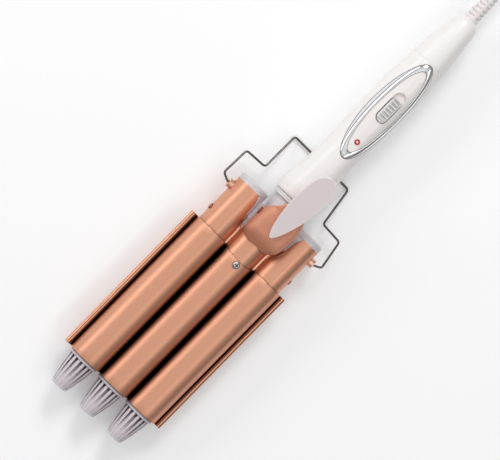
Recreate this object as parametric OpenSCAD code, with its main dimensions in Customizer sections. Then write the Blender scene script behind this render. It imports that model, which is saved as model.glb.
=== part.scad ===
// Three-barrel hair waver with a sprung clamp, a folding wire stand and a swivel lead.
// Millimetres. +X runs from the cool tips to the lead, +Z is up, +Y is the right side
// when the waver is held by its handle with the clamp on top.
// Inside the modules X = 0 is the clamp plate's edge next to the handle and Z = 0 is the
// plane of the barrels' axes. place() then puts the origin under the middle of the waver.

/* [Barrels] */
// Outside diameter of a barrel
barrel_d = 25; // [22:0.5:28]
// Free gap between two barrels
barrel_gap = 3; // [2.6:0.1:5]
// Wall of a barrel tube
barrel_wall = 1.1; // [0.8:0.1:1.6]
// Bare length of the outer barrels between the clamp plate and their end caps
outer_bare = 40.7; // [38:0.5:48]
// Bare length of the middle barrel between the clamp plate and the neck
middle_bare = 24; // [20:0.5:26]
// How deep the cut-out on the inner side of an outer barrel is next to the cap
notch_depth = 8.5; // [6.5:0.5:9]
// Where the cut-out begins, from the clamp plate's edge
notch_start = 14.4; // [12:0.2:18]

/* [Cool tips] */
// Length of a cool tip in front of its ring
tip_len = 24.8; // [18:0.2:32]
// Diameter of a cool tip next to its ring
tip_base_d = 22; // [18:0.5:23]
// Diameter of a cool tip at its end
tip_end_d = 13; // [10:0.5:16]
// Thickness of the ring between tip and barrel
tip_ring_t = 2.6; // [1.5:0.1:4]
// Number of slots round a tip
tip_slots = 16; // [10:1:20]
// Width of a slot
tip_slot_w = 1.7; // [1:0.1:2]
// Depth of a slot
tip_slot_depth = 1.4; // [0.8:0.1:2]

/* [Clamp plate] */
// Length of the clamp plate
plate_len = 130; // [110:1:150]
// Sheet thickness
plate_t = 0.8; // [0.6:0.1:1.2]
// Clear gap between the closed plate and the barrels
plate_gap = 1.2; // [1:0.1:1.4]
// Height of the valley floors over the barrels' axes
valley_z = 2.2; // [1.5:0.1:4]
// Half width over the side flanges
flange_half_w = 48.2; // [47.6:0.1:54]
// Width of the folded hem of a flange
hem_w = 4.6; // [3:0.1:5.5]
// Thickness of the folded hem
hem_t = 2; // [1.6:0.1:2.6]
// How far the middle crest stays back from the plate's edge next to the handle
plate_lean = 2.9; // [0:0.1:4]

/* [Clamp arm and lever] */
// Thickness of the tongue that carries the plate
tongue_t = 0.75; // [0.5:0.05:0.8]
// How far the tongue reaches under the plate
tongue_reach = 12; // [10:0.5:20]
// Front of the saddle, from the clamp plate's edge
saddle_x = 13.3; // [11:0.1:16]
// Wall of the saddle
saddle_t = 1.5; // [1.2:0.1:2]
// Width of the saddle
saddle_w = 30.4; // [29:0.2:30.6]
// Rounding along the top edges of the saddle
saddle_round = 6; // [5:0.5:7]
// Lean of the saddle's front face from upright
saddle_lean_deg = 36; // [30:1:40]
// Lower edge of the saddle's cheeks
cheek_z = 9; // [8.6:0.2:10]
// Rise of the saddle and lever towards the lead
arm_rise_deg = 16; // [14:0.1:17]
// Height of the saddle's top where the lever begins
arm_top_z = 25; // [24:0.1:26]
// Length of the thumb lever, seen from above
lever_len = 60; // [56:1:62]
// Widest part of the thumb lever
lever_w = 19.8; // [18:0.2:21]
// Thickness of the thumb lever
lever_t = 2.8; // [2:0.1:3.4]
// Pivot of the clamp, from the clamp plate's edge
pivot_x = 34; // [33:0.5:35]
// Height of the pivot over the barrels' axes
pivot_z = 13; // [12.8:0.1:13.4]
// Diameter of the pivot pin
pivot_d = 4; // [3:0.2:4.4]
// Wire of the clamp's torsion spring
spring_wire_d = 0.9; // [0.7:0.1:1]

/* [Neck and end caps] */
// Thickness of the end caps
cap_t = 5; // [3:0.2:7]
// Half height of the arms that carry the outer barrels
arm_half_h = 6; // [4:0.2:6.4]
// Bore through the neck for the leads
neck_bore_d = 14; // [12:0.5:14.6]
// Thickness of the collar in front of the handle
collar_t = 4.2; // [3:0.1:6]
// Diameter of the collar
collar_d = 31; // [28.6:0.2:33]

/* [Stand] */
// Diameter of the stand's wire
wire_d = 2; // [1.6:0.1:2.4]
// Distance of the stand's pivot from the clamp plate's edge
stand_x = 32.8; // [30:0.2:35]
// Diameter of a pivot lug
lug_d = 7.2; // [6:0.2:9]
// How far a lug stands out of its barrel
lug_out = 3.4; // [2.6:0.1:5]
// Length of the stand from its pivot to its cross bar
stand_len = 59.4; // [58:0.2:64]
// Length of the stand's wide part
stand_wide_len = 26.2; // [22:0.2:28]
// How far the folded stand slopes down under the handle
stand_fold_deg = 15.9; // [15.7:0.1:16.2]

/* [Handle] */
// Distance from the clamp plate's edge to the handle
handle_x = 56; // [54:0.2:58]
// Length of the handle with its rear sleeve
handle_len = 181.6; // [176:0.4:190]
// Diameter at the front edge of the handle
handle_front_d = 35; // [34:0.1:36]
// Largest diameter, which the waver lies on
handle_belly_d = 36; // [35.6:0.1:37]
// Diameter behind the belly
handle_shoulder_d = 32.6; // [32:0.1:34]
// Diameter at the waist
handle_waist_d = 28.8; // [28:0.1:30.4]
// Diameter at the grip
handle_grip_d = 31.5; // [31:0.1:33]
// Diameter at the seam of the rear sleeve
handle_seam_d = 28.4; // [28:0.1:30]
// Diameter near the tail
handle_tail_d = 20.2; // [19:0.1:22]
// Wall of the handle shells
handle_wall = 2.2; // [1.8:0.1:2.6]
// Distance from the clamp plate's edge to the seam of the rear sleeve
seam_x = 194; // [193:0.2:197]

/* [Control panel] */
// Length of the bezel
bezel_len = 91; // [89:0.5:92]
// Width of the bezel
bezel_w = 26.6; // [25.6:0.1:27.6]
// Length of the panel inside the bezel
panel_len = 79; // [76:0.5:82]
// Width of the panel inside the bezel
panel_w = 18.7; // [17:0.1:20]
// Middle of the panel, from the clamp plate's edge
panel_x = 147.6; // [147:0.1:148]
// How far the bezel stands out of the handle
bezel_h = 0.9; // [0.5:0.1:1.5]
// Diameter of the indicator lens
lens_d = 4.3; // [3.4:0.1:5]
// Indicator, from the clamp plate's edge
lens_x = 117.4; // [116.6:0.1:118]
// Length of the switch recess
recess_len = 27.4; // [26.4:0.1:28]
// Width of the switch recess
recess_w = 10; // [9:0.1:11]
// Middle of the switch recess, from the clamp plate's edge
recess_x = 151.6; // [151:0.1:152]
// Length of the sliding button
button_len = 21; // [20:0.1:21.6]
// Travel of the sliding button
button_travel = 5; // [4:0.1:5.2]

/* [Lead and plug] */
// Length of the strain relief outside the handle
boot_len = 34.4; // [34:0.2:34.6]
// Diameter of the strain relief at the handle
boot_d = 11.5; // [10.6:0.1:12]
// Number of segments of the strain relief
boot_segments = 9; // [5:1:10]
// Diameter of the lead
lead_d = 6; // [5.4:0.1:6.4]
// Diameter of a plug pin
plug_pin_d = 4; // [3.8:0.1:4.8]
// Length of a plug pin
plug_pin_len = 19; // [17:0.5:20]
// Distance between the plug pins
plug_pin_pitch = 18.6; // [17.6:0.1:19.2]

/* [Hidden] */
$fn = 64;

// Clearances
run_fit = 0.05;   // a pin or journal that turns in its hole
seat = 0.1;       // a piece that is pushed into another
face_gap = 0.3;   // bodies that pass each other
skin = 0.02;      // a thin piece that lies on a curved one
screw_clear = 0.2; // a screw that passes through a piece without biting

barrel_r = barrel_d / 2;
barrel_in_r = barrel_r - barrel_wall;
pitch = barrel_d + barrel_gap;
plate_in_r = barrel_r + plate_gap;
plate_out_r = plate_in_r + plate_t;
tube_front = -plate_len;
neck_r = barrel_r;
handle_end = handle_x + handle_len;
belly_r = handle_belly_d / 2;
plug_fit_r = barrel_in_r - seat;

centre_x = (tube_front - tip_ring_t - tip_len + handle_end) / 2;
floor_z = -belly_r;

module place() {
    translate([-centre_x, 0, -floor_z]) children();
}

// Helpers -------------------------------------------------------------------

// Rod along X from x0 to x1
module rod_x(r, x0, x1) {
    translate([x0, 0, 0]) rotate([0, 90, 0]) cylinder(r = r, h = x1 - x0);
}

// Rod along Y from y0 to y1
module rod_y(r, y0, y1) {
    translate([0, y0, 0]) rotate([-90, 0, 0]) cylinder(r = r, h = y1 - y0);
}

// Solid turned about X from an outline of [radius, x] points
module turned(outline) {
    rotate([0, 90, 0]) rotate_extrude() polygon(outline);
}

// Box from its lowest to its highest corner
module box(low, high) {
    translate(low) cube(high - low);
}

// Flat outline in X and Z, extruded across Y
module side_sheet(w) {
    rotate([90, 0, 0]) linear_extrude(w, center = true) children();
}

// Flat outline in Y and Z, extruded along X
module cross_sheet(x0, x1) {
    translate([x0, 0, 0]) rotate([90, 0, 90]) linear_extrude(x1 - x0) children();
}

module oval(len, w) {
    polygon([for (a = [0 : 7.5 : 352.5]) [len / 2 * cos(a), w / 2 * sin(a)]]);
}

module slot_outline(len, w) {
    square([len - w, w], center = true);
    for (s = [-1, 1]) translate([s * (len - w) / 2, 0]) circle(d = w);
}

// Smooth curve through points [x, y], with the slopes of its neighbours
function slope_at(p, i) =
    i == 0 ? (p[1][1] - p[0][1]) / (p[1][0] - p[0][0]) :
    i == len(p) - 1 ? (p[i][1] - p[i - 1][1]) / (p[i][0] - p[i - 1][0]) :
    (p[i + 1][1] - p[i - 1][1]) / (p[i + 1][0] - p[i - 1][0]);
function span_of(p, x, i = 0) = (i >= len(p) - 2 || x <= p[i + 1][0]) ? i : span_of(p, x, i + 1);
function hermite(t, h, y0, y1, m0, m1) =
    (2 * pow(t, 3) - 3 * t * t + 1) * y0 + (pow(t, 3) - 2 * t * t + t) * h * m0
    + (3 * t * t - 2 * pow(t, 3)) * y1 + (pow(t, 3) - t * t) * h * m1;
function on_span(p, x, i) =
    hermite((x - p[i][0]) / (p[i + 1][0] - p[i][0]), p[i + 1][0] - p[i][0],
            p[i][1], p[i + 1][1], slope_at(p, i), slope_at(p, i + 1));
function smooth_at(p, x) = on_span(p, x, span_of(p, x));

// Round tube swept along a path
function unit(v) = v / norm(v);
function heading(path, i) = unit(path[min(i + 1, len(path) - 1)] - path[max(i - 1, 0)]);
function ring_at(path, i, r, sides, up) =
    let (t = heading(path, i), s = unit(cross(t, up)), u = cross(s, t))
    [for (j = [0 : sides - 1]) path[i] + r * (cos(360 * j / sides) * s + sin(360 * j / sides) * u)];
module swept(path, r, sides, up = [0, 0, 1]) {
    n = len(path);
    polyhedron(
        points = [for (i = [0 : n - 1]) each ring_at(path, i, r, sides, up)],
        faces = concat(
            [[for (j = [sides - 1 : -1 : 0]) j]],
            [for (i = [0 : n - 2], j = [0 : sides - 1])
                [i * sides + j, i * sides + (j + 1) % sides,
                 (i + 1) * sides + (j + 1) % sides, (i + 1) * sides + j]],
            [[for (j = [0 : sides - 1]) (n - 1) * sides + j]]));
}

// Piece of the right side, or its mirror image for side -1
module sided(side) {
    mirror([0, side < 0 ? 1 : 0, 0]) children();
}

// Barrels -------------------------------------------------------------------

notch_edge = pitch - barrel_r;
notch_ramp = 7.2;      // length over which the cut-out deepens
notch_first = 3.9;     // depth at the end of that ramp

// Plan of the cut-out, drawn for the right barrel and grown inwards by inset
module notch_outline(inset = 0) {
    polygon([
        [notch_start + inset, notch_edge - 4],
        [notch_start + inset, notch_edge + 0.2],
        [notch_start + notch_ramp + inset, notch_edge + notch_first - inset],
        [outer_bare - 5, notch_edge + notch_depth - 3 - inset],
        [outer_bare - 2, notch_edge + notch_depth - 1.6 - inset],
        [outer_bare + 1, notch_edge + notch_depth - inset],
        [outer_bare + 1, notch_edge - 4]
    ]);
}

module barrel_tube(x1) {
    difference() {
        rod_x(barrel_r, tube_front, x1);
        rod_x(barrel_in_r, tube_front - 1, x1 + 1);
    }
}

lug_shank_r = 2;
lug_shank_in = 3.5;    // how far the shank reaches in from the barrel's outside
side_screw_x = 11.5;
side_screw_r = 1.3;

// Holes of an outer barrel, shared with the yoke spigot inside it
module outer_holes(extra) {
    translate([stand_x, 0, 0]) rod_y(lug_shank_r + extra, pitch + 5, pitch + barrel_r + 3);
    translate([side_screw_x, 0, 0]) rod_y(side_screw_r + extra, pitch + 5, pitch + barrel_r + 3);
}

module outer_barrel(side) {
    sided(side) difference() {
        translate([0, pitch, 0]) barrel_tube(outer_bare);
        translate([0, 0, -barrel_d]) linear_extrude(2 * barrel_d) notch_outline();
        outer_holes(run_fit);
    }
}

// Cool tips -----------------------------------------------------------------

function tip_r(s) = tip_base_d / 2 - (tip_base_d - tip_end_d) / 2 * pow(s, 1.45);
tip_steps = 8;
tip_edge = 1.2;        // rounding at the end of a tip
slot_from = 0.015;     // share of the tip's length where a slot begins
slot_to = 0.9;         // share of the tip's length where a slot ends

module tip() {
    ring_x = tube_front - tip_ring_t;
    difference() {
        union() {
            turned(concat(
                [[0, ring_x + 0.5]],
                [for (i = [0 : tip_steps - 1])
                    [tip_r(i / tip_steps), ring_x + (i == 0 ? 0.5 : -tip_len * i / tip_steps)]],
                [for (a = [0 : 30 : 90])
                    [tip_end_d / 2 - tip_edge + tip_edge * cos(a),
                     ring_x - tip_len + tip_edge - tip_edge * sin(a)]],
                [[0, ring_x - tip_len]]));
            turned([
                [0, tube_front], [barrel_r - 0.6, tube_front], [barrel_r - 0.2, tube_front - 0.4],
                [barrel_r - 0.2, ring_x + 0.5], [barrel_r - 0.7, ring_x], [0, ring_x]
            ]);
            rod_x(plug_fit_r, tube_front - 0.5, tube_front + 10);
        }
        for (i = [0 : tip_slots - 1])
            rotate([(i + 0.5) * 360 / tip_slots, 0, 0]) side_sheet(tip_slot_w)
                polygon(concat(
                    [for (k = [0 : 6])
                        let (s = slot_from + (slot_to - slot_from) * k / 6)
                        [ring_x - tip_len * s, tip_r(s) - tip_slot_depth]],
                    [[ring_x - tip_len * slot_to, tip_base_d], [ring_x - tip_len * slot_from, tip_base_d]]));
    }
}

// Heating -------------------------------------------------------------------

heat_front = tube_front + 12;
heat_rear = -5;
heater_w = 14;
heater_h = 4;
fuse_d = 3;
sleeve_d = 2.4;        // insulated lead pair of one heater
spigot_mid_x = 6;      // front of the yoke's spigot in the middle barrel
spigot_out_x = 2;      // front of the yoke's spigots in the outer barrels

module heater() {
    box([heat_front + 4, -heater_w / 2, -heater_h / 2], [heat_rear, heater_w / 2, heater_h / 2]);
}

// Two half-round aluminium bars that clamp the heater and fill the tube
module spreader() {
    difference() {
        rod_x(plug_fit_r, heat_front, heat_rear);
        box([heat_front - 1, -barrel_r, -heater_h / 2 - seat],
            [heat_rear + 1, barrel_r, heater_h / 2 + seat]);
    }
}

fuse_at = [0, 4.5, 6]; // beside the heater leads, against the spreader's end

module thermal_fuse() {
    color("silver") place() translate(fuse_at) rod_x(fuse_d / 2, heat_rear + 0.1, spigot_mid_x - 0.1);
}

// Circuit board, also the end of the leads
board_x0 = 112;
board_x1 = 183;
board_z = 4;
board_t = 1.6;
board_w = 17;

module heater_leads() {
    lead_z = board_z + board_t / 2;
    color("ivory") place() {
        swept([[heat_rear + seat, 0, 0], [2, 0, -2], [10, 0, -4.5], [78, 0, -4.5], [88, 6, -5],
               [104, 6, -5], [board_x0 - 1, 2.8, lead_z], [board_x0 - 0.1, 2.6, lead_z]],
              sleeve_d / 2, 8);
        for (s = [-1, 1])
            swept([[heat_rear + seat, s * pitch, 0], [27, s * pitch, 0], [30, s * (pitch - 3), 0],
                   [30, s * 7, 0], [33, s * 4, 0], [40, s * 4, 2], [78, s * 4, 2], [88, s * 7, 2],
                   [104, s * 7, 2], [board_x0 - 1, s * 6.5, lead_z], [board_x0 - 0.1, s * 6.4, lead_z]],
                  sleeve_d / 2, 8);
    }
}

// Yoke ----------------------------------------------------------------------

lug_wall = 3.2;        // each upright that holds the pivot pin
upright_y = neck_r + 0.2;
upright_len = 10;
pocket_z = 8;          // floor of the spring pocket
spigot_bore_r = 8;
neck_tail = 20;        // how far the neck reaches into the handle
neck_tail_r = neck_r - 0.5;
cross_bore_r = 3;

module barrel_yoke() {
    color("lightgray") place() difference() {
        union() {
            rod_x(plug_fit_r, spigot_mid_x, middle_bare);
            rod_x(neck_r, middle_bare, handle_x);
            rod_x(neck_tail_r, handle_x - 1, handle_x + neck_tail);
            box([middle_bare, -pitch, -arm_half_h], [outer_bare - 2, pitch, arm_half_h]);
            for (s = [-1, 1]) {
                translate([0, s * pitch, 0]) rod_x(plug_fit_r, spigot_out_x, outer_bare - 0.2);
                intersection() {
                    translate([0, s * pitch, 0]) rod_x(barrel_r - 0.1, notch_start + 0.1, outer_bare - 0.2);
                    sided(s) translate([0, 0, -barrel_d])
                        linear_extrude(2 * barrel_d) notch_outline(seat);
                }
                // uprights for the pivot pin
                box([pivot_x - upright_len / 2, s > 0 ? upright_y - lug_wall : -upright_y, 0],
                    [pivot_x + upright_len / 2, s > 0 ? upright_y : -upright_y + lug_wall, pivot_z]);
                translate([pivot_x, 0, pivot_z])
                    rod_y(upright_len / 2 - 1.4, s > 0 ? upright_y - lug_wall : -upright_y,
                          s > 0 ? upright_y : -upright_y + lug_wall);
            }
        }
        // spring pocket between the uprights
        box([pivot_x - upright_len / 2 - 1, -upright_y + lug_wall, pocket_z],
            [pivot_x + upright_len, upright_y - lug_wall, pivot_z + barrel_r]);
        translate([pivot_x, 0, pivot_z]) rod_y(pivot_d / 2 + skin, -pitch / 2, pitch / 2);
        rod_x(neck_bore_d / 2, spigot_mid_x - 1, handle_x + neck_tail + 1);
        translate([30, 0, 0]) rod_y(cross_bore_r, -pitch, pitch);
        for (s = [-1, 1]) {
            translate([0, s * pitch, 0]) rod_x(spigot_bore_r, spigot_out_x - 1, outer_bare + 1);
            sided(s) outer_holes(run_fit);
        }
    }
}

cap_plug = 6;

module end_cap() {
    turned([
        [0, outer_bare - cap_plug], [spigot_bore_r - seat, outer_bare - cap_plug],
        [spigot_bore_r - seat, outer_bare], [barrel_r, outer_bare],
        for (a = [0 : 22.5 : 90])
            [barrel_r - 1.6 + 1.6 * cos(a), outer_bare + cap_t - 1.6 + 1.6 * sin(a)],
        [0, outer_bare + cap_t]
    ]);
}

side_head_r = 2.2;
side_head_h = 0.9;

module barrel_screws() {
    color("silver") place() for (s = [-1, 1]) sided(s) translate([side_screw_x, 0, 0]) {
        difference() {
            rod_y(side_head_r, pitch + barrel_r + 0.02, pitch + barrel_r + side_head_h);
            box([-0.3, pitch + barrel_r + 0.5, -1.5], [0.3, pitch + barrel_r + 2, 1.5]);
        }
        rod_y(side_screw_r, pitch + barrel_r - 4, pitch + barrel_r + 0.1);
    }
}

// Stand ---------------------------------------------------------------------

lug_face = pitch + barrel_r + lug_out;

module stand_lug(side) {
    sided(side) difference() {
        union() {
            difference() {
                translate([stand_x, 0, 0]) rod_y(lug_d / 2, pitch + barrel_r - 2, lug_face);
                translate([0, pitch, 0]) rod_x(barrel_r + skin, 0, 60);
            }
            translate([stand_x, 0, 0]) rod_y(lug_shank_r, pitch + barrel_r - lug_shank_in,
                                             pitch + barrel_r + 0.5);
        }
        translate([stand_x, 0, 0]) rod_y(wire_d / 2 + run_fit, lug_face - 5, lug_face + 1);
    }
}

bend_r = 2.5;
stand_wide = 50.9;     // half width of the wide part at the lugs
stand_wide_rear = 48.6;
stand_narrow = 30.5;   // half width of the narrow part at the step
stand_narrow_rear = 28.2;

half_wire = [
    [0, lug_face - 4.7], [0, lug_face + 1.4], [2.8, stand_wide], [stand_wide_len, stand_wide_rear],
    [stand_wide_len + 1, stand_narrow], [stand_len, stand_narrow_rear]
];
wire_corners = concat(
    half_wire,
    [for (i = [len(half_wire) - 1 : -1 : 0]) [half_wire[i][0], -half_wire[i][1]]]);
bend_steps = 6;

function turn_at(p, i) =
    let (a = p[i] - p[i - 1], b = p[i + 1] - p[i])
    atan2(a[0] * b[1] - a[1] * b[0], a * b);

// Points of the round bend that replaces a corner
function bend_at(p, i) =
    let (turn = turn_at(p, i),
         hand = sign(turn),
         along = unit(p[i] - p[i - 1]),
         start = p[i] - along * bend_r * tan(abs(turn) / 2),
         middle = start + hand * bend_r * [-along[1], along[0]],
         facing = atan2(along[1], along[0]) - hand * 90)
    [for (k = [0 : bend_steps])
        [middle[0] + bend_r * cos(facing + turn * k / bend_steps),
         middle[1] + bend_r * sin(facing + turn * k / bend_steps), 0]];
function bent_route(p) = concat(
    [[p[0][0], p[0][1], 0]],
    [for (i = [1 : len(p) - 2]) each bend_at(p, i)],
    [[p[len(p) - 1][0], p[len(p) - 1][1], 0]]);

module stand_wire() {
    color("dimgray") place() translate([stand_x, 0, 0]) rotate([0, stand_fold_deg, 0])
        swept(bent_route(wire_corners), wire_d / 2, 12);
}

// Clamp plate ---------------------------------------------------------------

screw_x = -6.1;
screw_r = 1.25;
valley_w = pitch - 2 * sqrt(pow(plate_in_r, 2) - pow(valley_z, 2)) + 0.6;
crest_half_w = pitch / 2 - 1;      // the middle crest between its valleys' creases

module plate_section() {
    difference() {
        union() {
            for (i = [-1 : 1]) translate([i * pitch, 0]) circle(r = plate_out_r, $fn = 96);
            for (s = [-1, 1]) {
                translate([s * pitch / 2, valley_z + plate_t / 2])
                    square([valley_w, plate_t], center = true);
                translate([s * (pitch + plate_in_r + flange_half_w - 1) / 2, plate_t / 2])
                    square([flange_half_w - 1 - pitch - plate_in_r, plate_t], center = true);
                translate([s * (flange_half_w - (hem_w + hem_t / 2) / 2), hem_t / 2])
                    square([hem_w - hem_t / 2, hem_t], center = true);
                translate([s * (flange_half_w - hem_t / 2), hem_t / 2]) circle(d = hem_t);
            }
        }
        for (i = [-1 : 1]) translate([i * pitch, 0]) circle(r = plate_in_r, $fn = 96);
        translate([0, valley_z - pitch]) square([2 * pitch, 2 * pitch], center = true);
        translate([0, -pitch]) square([6 * pitch, 2 * pitch], center = true);
    }
}

module clamp_plate() {
    color("darksalmon") place() difference() {
        cross_sheet(-plate_len, 0) plate_section();
        // the middle crest stays back from the edge next to the handle
        rotate([0, -atan(plate_lean / plate_out_r), 0])
            box([0, -crest_half_w, -pitch], [pitch, crest_half_w, 2 * pitch]);
        translate([screw_x, 0, 0]) cylinder(r = screw_r + run_fit, h = 2 * plate_out_r);
    }
}

// Clamp arm -----------------------------------------------------------------

saddle_half_w = saddle_w / 2;
tongue_out_r = plate_in_r - seat / 2;
tongue_in_r = tongue_out_r - tongue_t;
lever_front = saddle_x + 12.4;     // tip of the lever
arm_end = lever_front + 39;        // rear end of the arm under the lever
cheek_rear = pivot_x + 5;
tongue_z = 3;                      // the tongue's side edges

function arm_top(x) = arm_top_z + tan(arm_rise_deg) * (x - lever_front);

// Cross-section of the saddle under its top edge, drawn in Y and Z
module saddle_section(inset) {
    round_r = saddle_round - inset;
    half = saddle_half_w - inset;
    translate([0, -inset]) {
        for (s = [-1, 1]) translate([s * (half - round_r), -round_r]) circle(r = round_r);
        translate([-(half - round_r), -2 * round_r]) square([2 * (half - round_r), 2 * round_r]);
    }
    translate([-half, -2 * pitch]) square([2 * half, 2 * pitch - saddle_round]);
}

// The section run along the arm's rise
module saddle_run(inset) {
    translate([lever_front, 0, arm_top_z]) rotate([0, -arm_rise_deg, 0])
        cross_sheet(-pitch, 2 * pitch) saddle_section(inset);
}

saddle_corner = 8;

// One front corner of the arm's plan, moved in by inset
function front_corner(inset) =
    [for (a = [180 : -15 : 90])
        [saddle_x + inset + saddle_corner * (1 + cos(a)), saddle_half_w - saddle_corner * (1 - sin(a))]];
// Plan that is the same on both sides, from the outline of its right half
module mirrored_plan(half) {
    polygon(concat(half, [for (i = [len(half) - 1 : -1 : 0]) [half[i][0], -half[i][1]]]));
}
module arm_plan() {
    mirrored_plan(concat(front_corner(0), [
        [pivot_x + 2, saddle_half_w], [pivot_x + 7, saddle_half_w - 1],
        [pivot_x + 11, saddle_half_w - 3], [pivot_x + 16, saddle_half_w - 5.8],
        [pivot_x + 20, saddle_half_w - 8], [arm_end - 3, saddle_half_w - 10.6],
        [arm_end, saddle_half_w - 12.4]
    ]));
}
// Plan of the hollow under the saddle, open at the rear
module hollow_plan() {
    mirrored_plan(concat(front_corner(saddle_t), [[arm_end + 10, saddle_half_w]]));
}

// Room in front of the saddle's leaning front face
module front_room(inset) {
    translate([saddle_x + inset / cos(saddle_lean_deg), 0, tongue_out_r])
        rotate([0, saddle_lean_deg, 0]) box([-2 * pitch, -pitch, -pitch], [0, pitch, 2 * pitch]);
}

lever_screw_at = [12, 27];         // along the arm, from the lever's tip
lever_screw_r = 0.9;
lever_screw_head_r = 2;
lever_screw_head_h = 1.2;
lever_screw_bite = 1.4;            // how far the screws reach into the lever

module clamp_arm() {
    color("indianred") place() difference() {
        union() {
            // saddle shell
            difference() {
                intersection() {
                    saddle_run(0);
                    linear_extrude(2 * pitch) arm_plan();
                }
                front_room(0);
                difference() {
                    intersection() {
                        saddle_run(saddle_t);
                        linear_extrude(2 * pitch) hollow_plan();
                    }
                    front_room(saddle_t);
                }
                // open below the cheeks, which end behind the pivot
                box([saddle_x - 1, -pitch, -pitch], [arm_end + 1, pitch, cheek_z]);
                side_sheet(2 * pitch) polygon([
                    [cheek_rear - 2, cheek_z - 1], [cheek_rear + 4, arm_top_z - saddle_round],
                    [arm_end + 1, arm_top_z - saddle_round], [arm_end + 1, cheek_z - 1]
                ]);
                // clear of the middle barrel
                rod_x(tongue_in_r, -plate_len, arm_end);
            }
            // tongue on the middle barrel
            intersection() {
                difference() {
                    rod_x(tongue_out_r, -tongue_reach, saddle_x + saddle_t + 1);
                    rod_x(tongue_in_r, -tongue_reach - 1, saddle_x + saddle_t + 2);
                }
                box([-plate_len, -pitch, tongue_z], [pitch, pitch, pitch]);
            }
        }
        translate([pivot_x, 0, pivot_z]) rod_y(pivot_d / 2 + run_fit, -pitch, pitch);
        translate([screw_x, 0, 0]) cylinder(r = screw_r + skin, h = 2 * plate_out_r);
        for (d = lever_screw_at)
            translate([lever_front, 0, arm_top_z]) rotate([0, -arm_rise_deg, 0])
                translate([d, 0, -5]) cylinder(r = lever_screw_r + screw_clear + skin, h = 10);
    }
}

screw_head_r = 2.7;
screw_head_h = 1.6;

module clamp_screw() {
    color("silver") place() translate([screw_x, 0, plate_out_r + skin]) {
        difference() {
            union() {
                cylinder(r = screw_head_r, h = screw_head_h - 0.6);
                translate([0, 0, screw_head_h - 0.6])
                    cylinder(r1 = screw_head_r, r2 = screw_head_r - 0.8, h = 0.6);
            }
            for (a = [0, 90]) rotate([0, 0, a]) box([-1.6, -0.35, 0.7], [1.6, 0.35, 3]);
        }
        translate([0, 0, tongue_in_r - plate_out_r])
            cylinder(r = screw_r, h = plate_out_r - tongue_in_r + 0.2);
    }
}

// Thumb lever ---------------------------------------------------------------

// Half width of the lever at [distance from its tip, half width]
lever_stations = [
    [0, 0.8], [3, 2.8], [9.3, 5.3], [19.3, lever_w / 2 - 2.1], [26, lever_w / 2 - 1],
    [34.3, lever_w / 2 - 0.2], [43, lever_w / 2], [49.3, lever_w / 2 - 0.5],
    [lever_len - 5.6, lever_w / 2 - 1.9], [lever_len - 2, lever_w / 2 - 5], [lever_len, 0.8]
];
lever_steps = 30;

module lever_outline() {
    upper = [for (i = [0 : lever_steps])
        let (x = lever_len * (1 - cos(180 * i / lever_steps)) / 2)
        [x / cos(arm_rise_deg), smooth_at(lever_stations, x)]];
    polygon(concat(upper, [for (i = [lever_steps : -1 : 0]) [upper[i][0], -upper[i][1]]]));
}

module thumb_lever() {
    color("thistle") place() translate([lever_front, 0, arm_top_z]) rotate([0, -arm_rise_deg, 0])
        difference() {
            translate([0, 0, skin]) linear_extrude(lever_t) lever_outline();
            for (d = lever_screw_at)
                translate([d, 0, -1]) cylinder(r = lever_screw_r, h = lever_screw_bite + 1.2);
        }
}

module lever_screws() {
    color("silver") place() translate([lever_front, 0, arm_top_z]) rotate([0, -arm_rise_deg, 0])
        for (d = lever_screw_at) translate([d, 0, 0]) {
            translate([0, 0, -saddle_t - lever_screw_head_h])
                cylinder(r = lever_screw_head_r, h = lever_screw_head_h - skin);
            translate([0, 0, -saddle_t - 0.1])
                cylinder(r = lever_screw_r - skin, h = saddle_t + 0.1 + lever_screw_bite);
        }
}

pin_head_t = 0.8;

module pivot_pin() {
    color("silver") place() translate([pivot_x, 0, pivot_z]) {
        for (s = [-1, 1]) sided(s)
            rod_y(pivot_d / 2 + 1, saddle_half_w + run_fit, saddle_half_w + pin_head_t);
        rod_y(pivot_d / 2, -saddle_half_w - pin_head_t, saddle_half_w + pin_head_t);
    }
}

spring_r = pivot_d / 2 + 0.25 + spring_wire_d / 2;
spring_turns = 7;
spring_half = spring_turns * (spring_wire_d + 0.2) / 2;

module clamp_spring() {
    coil = [for (i = [0 : spring_turns * 12])
        let (a = -90 + 30 * i)
        [spring_r * cos(a), -spring_half + 2 * spring_half * i / (spring_turns * 12), spring_r * sin(a)]];
    color("gray") place() translate([pivot_x, 0, pivot_z]) {
        swept(concat([[9, -spring_half, -spring_r]], coil,
                     [[8, spring_half, -spring_r]]), spring_wire_d / 2, 6, [0, 1, 0]);
    }
}

// Handle --------------------------------------------------------------------

// Outline of the handle at [distance from its front, radius]
handle_stations = [
    [0, handle_front_d / 2], [9, belly_r], [20, handle_shoulder_d / 2],
    [37.6, handle_waist_d / 2 + 0.4], [52, handle_waist_d / 2], [72, handle_grip_d / 2 - 0.8],
    [97, handle_grip_d / 2], [111, handle_grip_d / 2], [126, handle_grip_d / 2 - 0.8],
    [seam_x - handle_x, handle_seam_d / 2], [handle_len - 25.2, handle_tail_d / 2 + 2.5],
    [handle_len - 6.6, handle_tail_d / 2], [handle_len - 2.6, handle_tail_d / 2 - 1.2],
    [handle_len, handle_tail_d / 2 - 3.2]
];
handle_cells = 50;     // short cones that make up the handle's surface
handle_step = handle_len / handle_cells;
function station_r(k) = smooth_at(handle_stations, k * handle_step);

// Radius of the handle's surface, the same cones for every piece that follows it
function handle_r(x) =
    let (u = max(0, min(handle_cells, (x - handle_x) / handle_step)),
         k = min(floor(u), handle_cells - 1))
    station_r(k) + (u - k) * (station_r(k + 1) - station_r(k));

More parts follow.
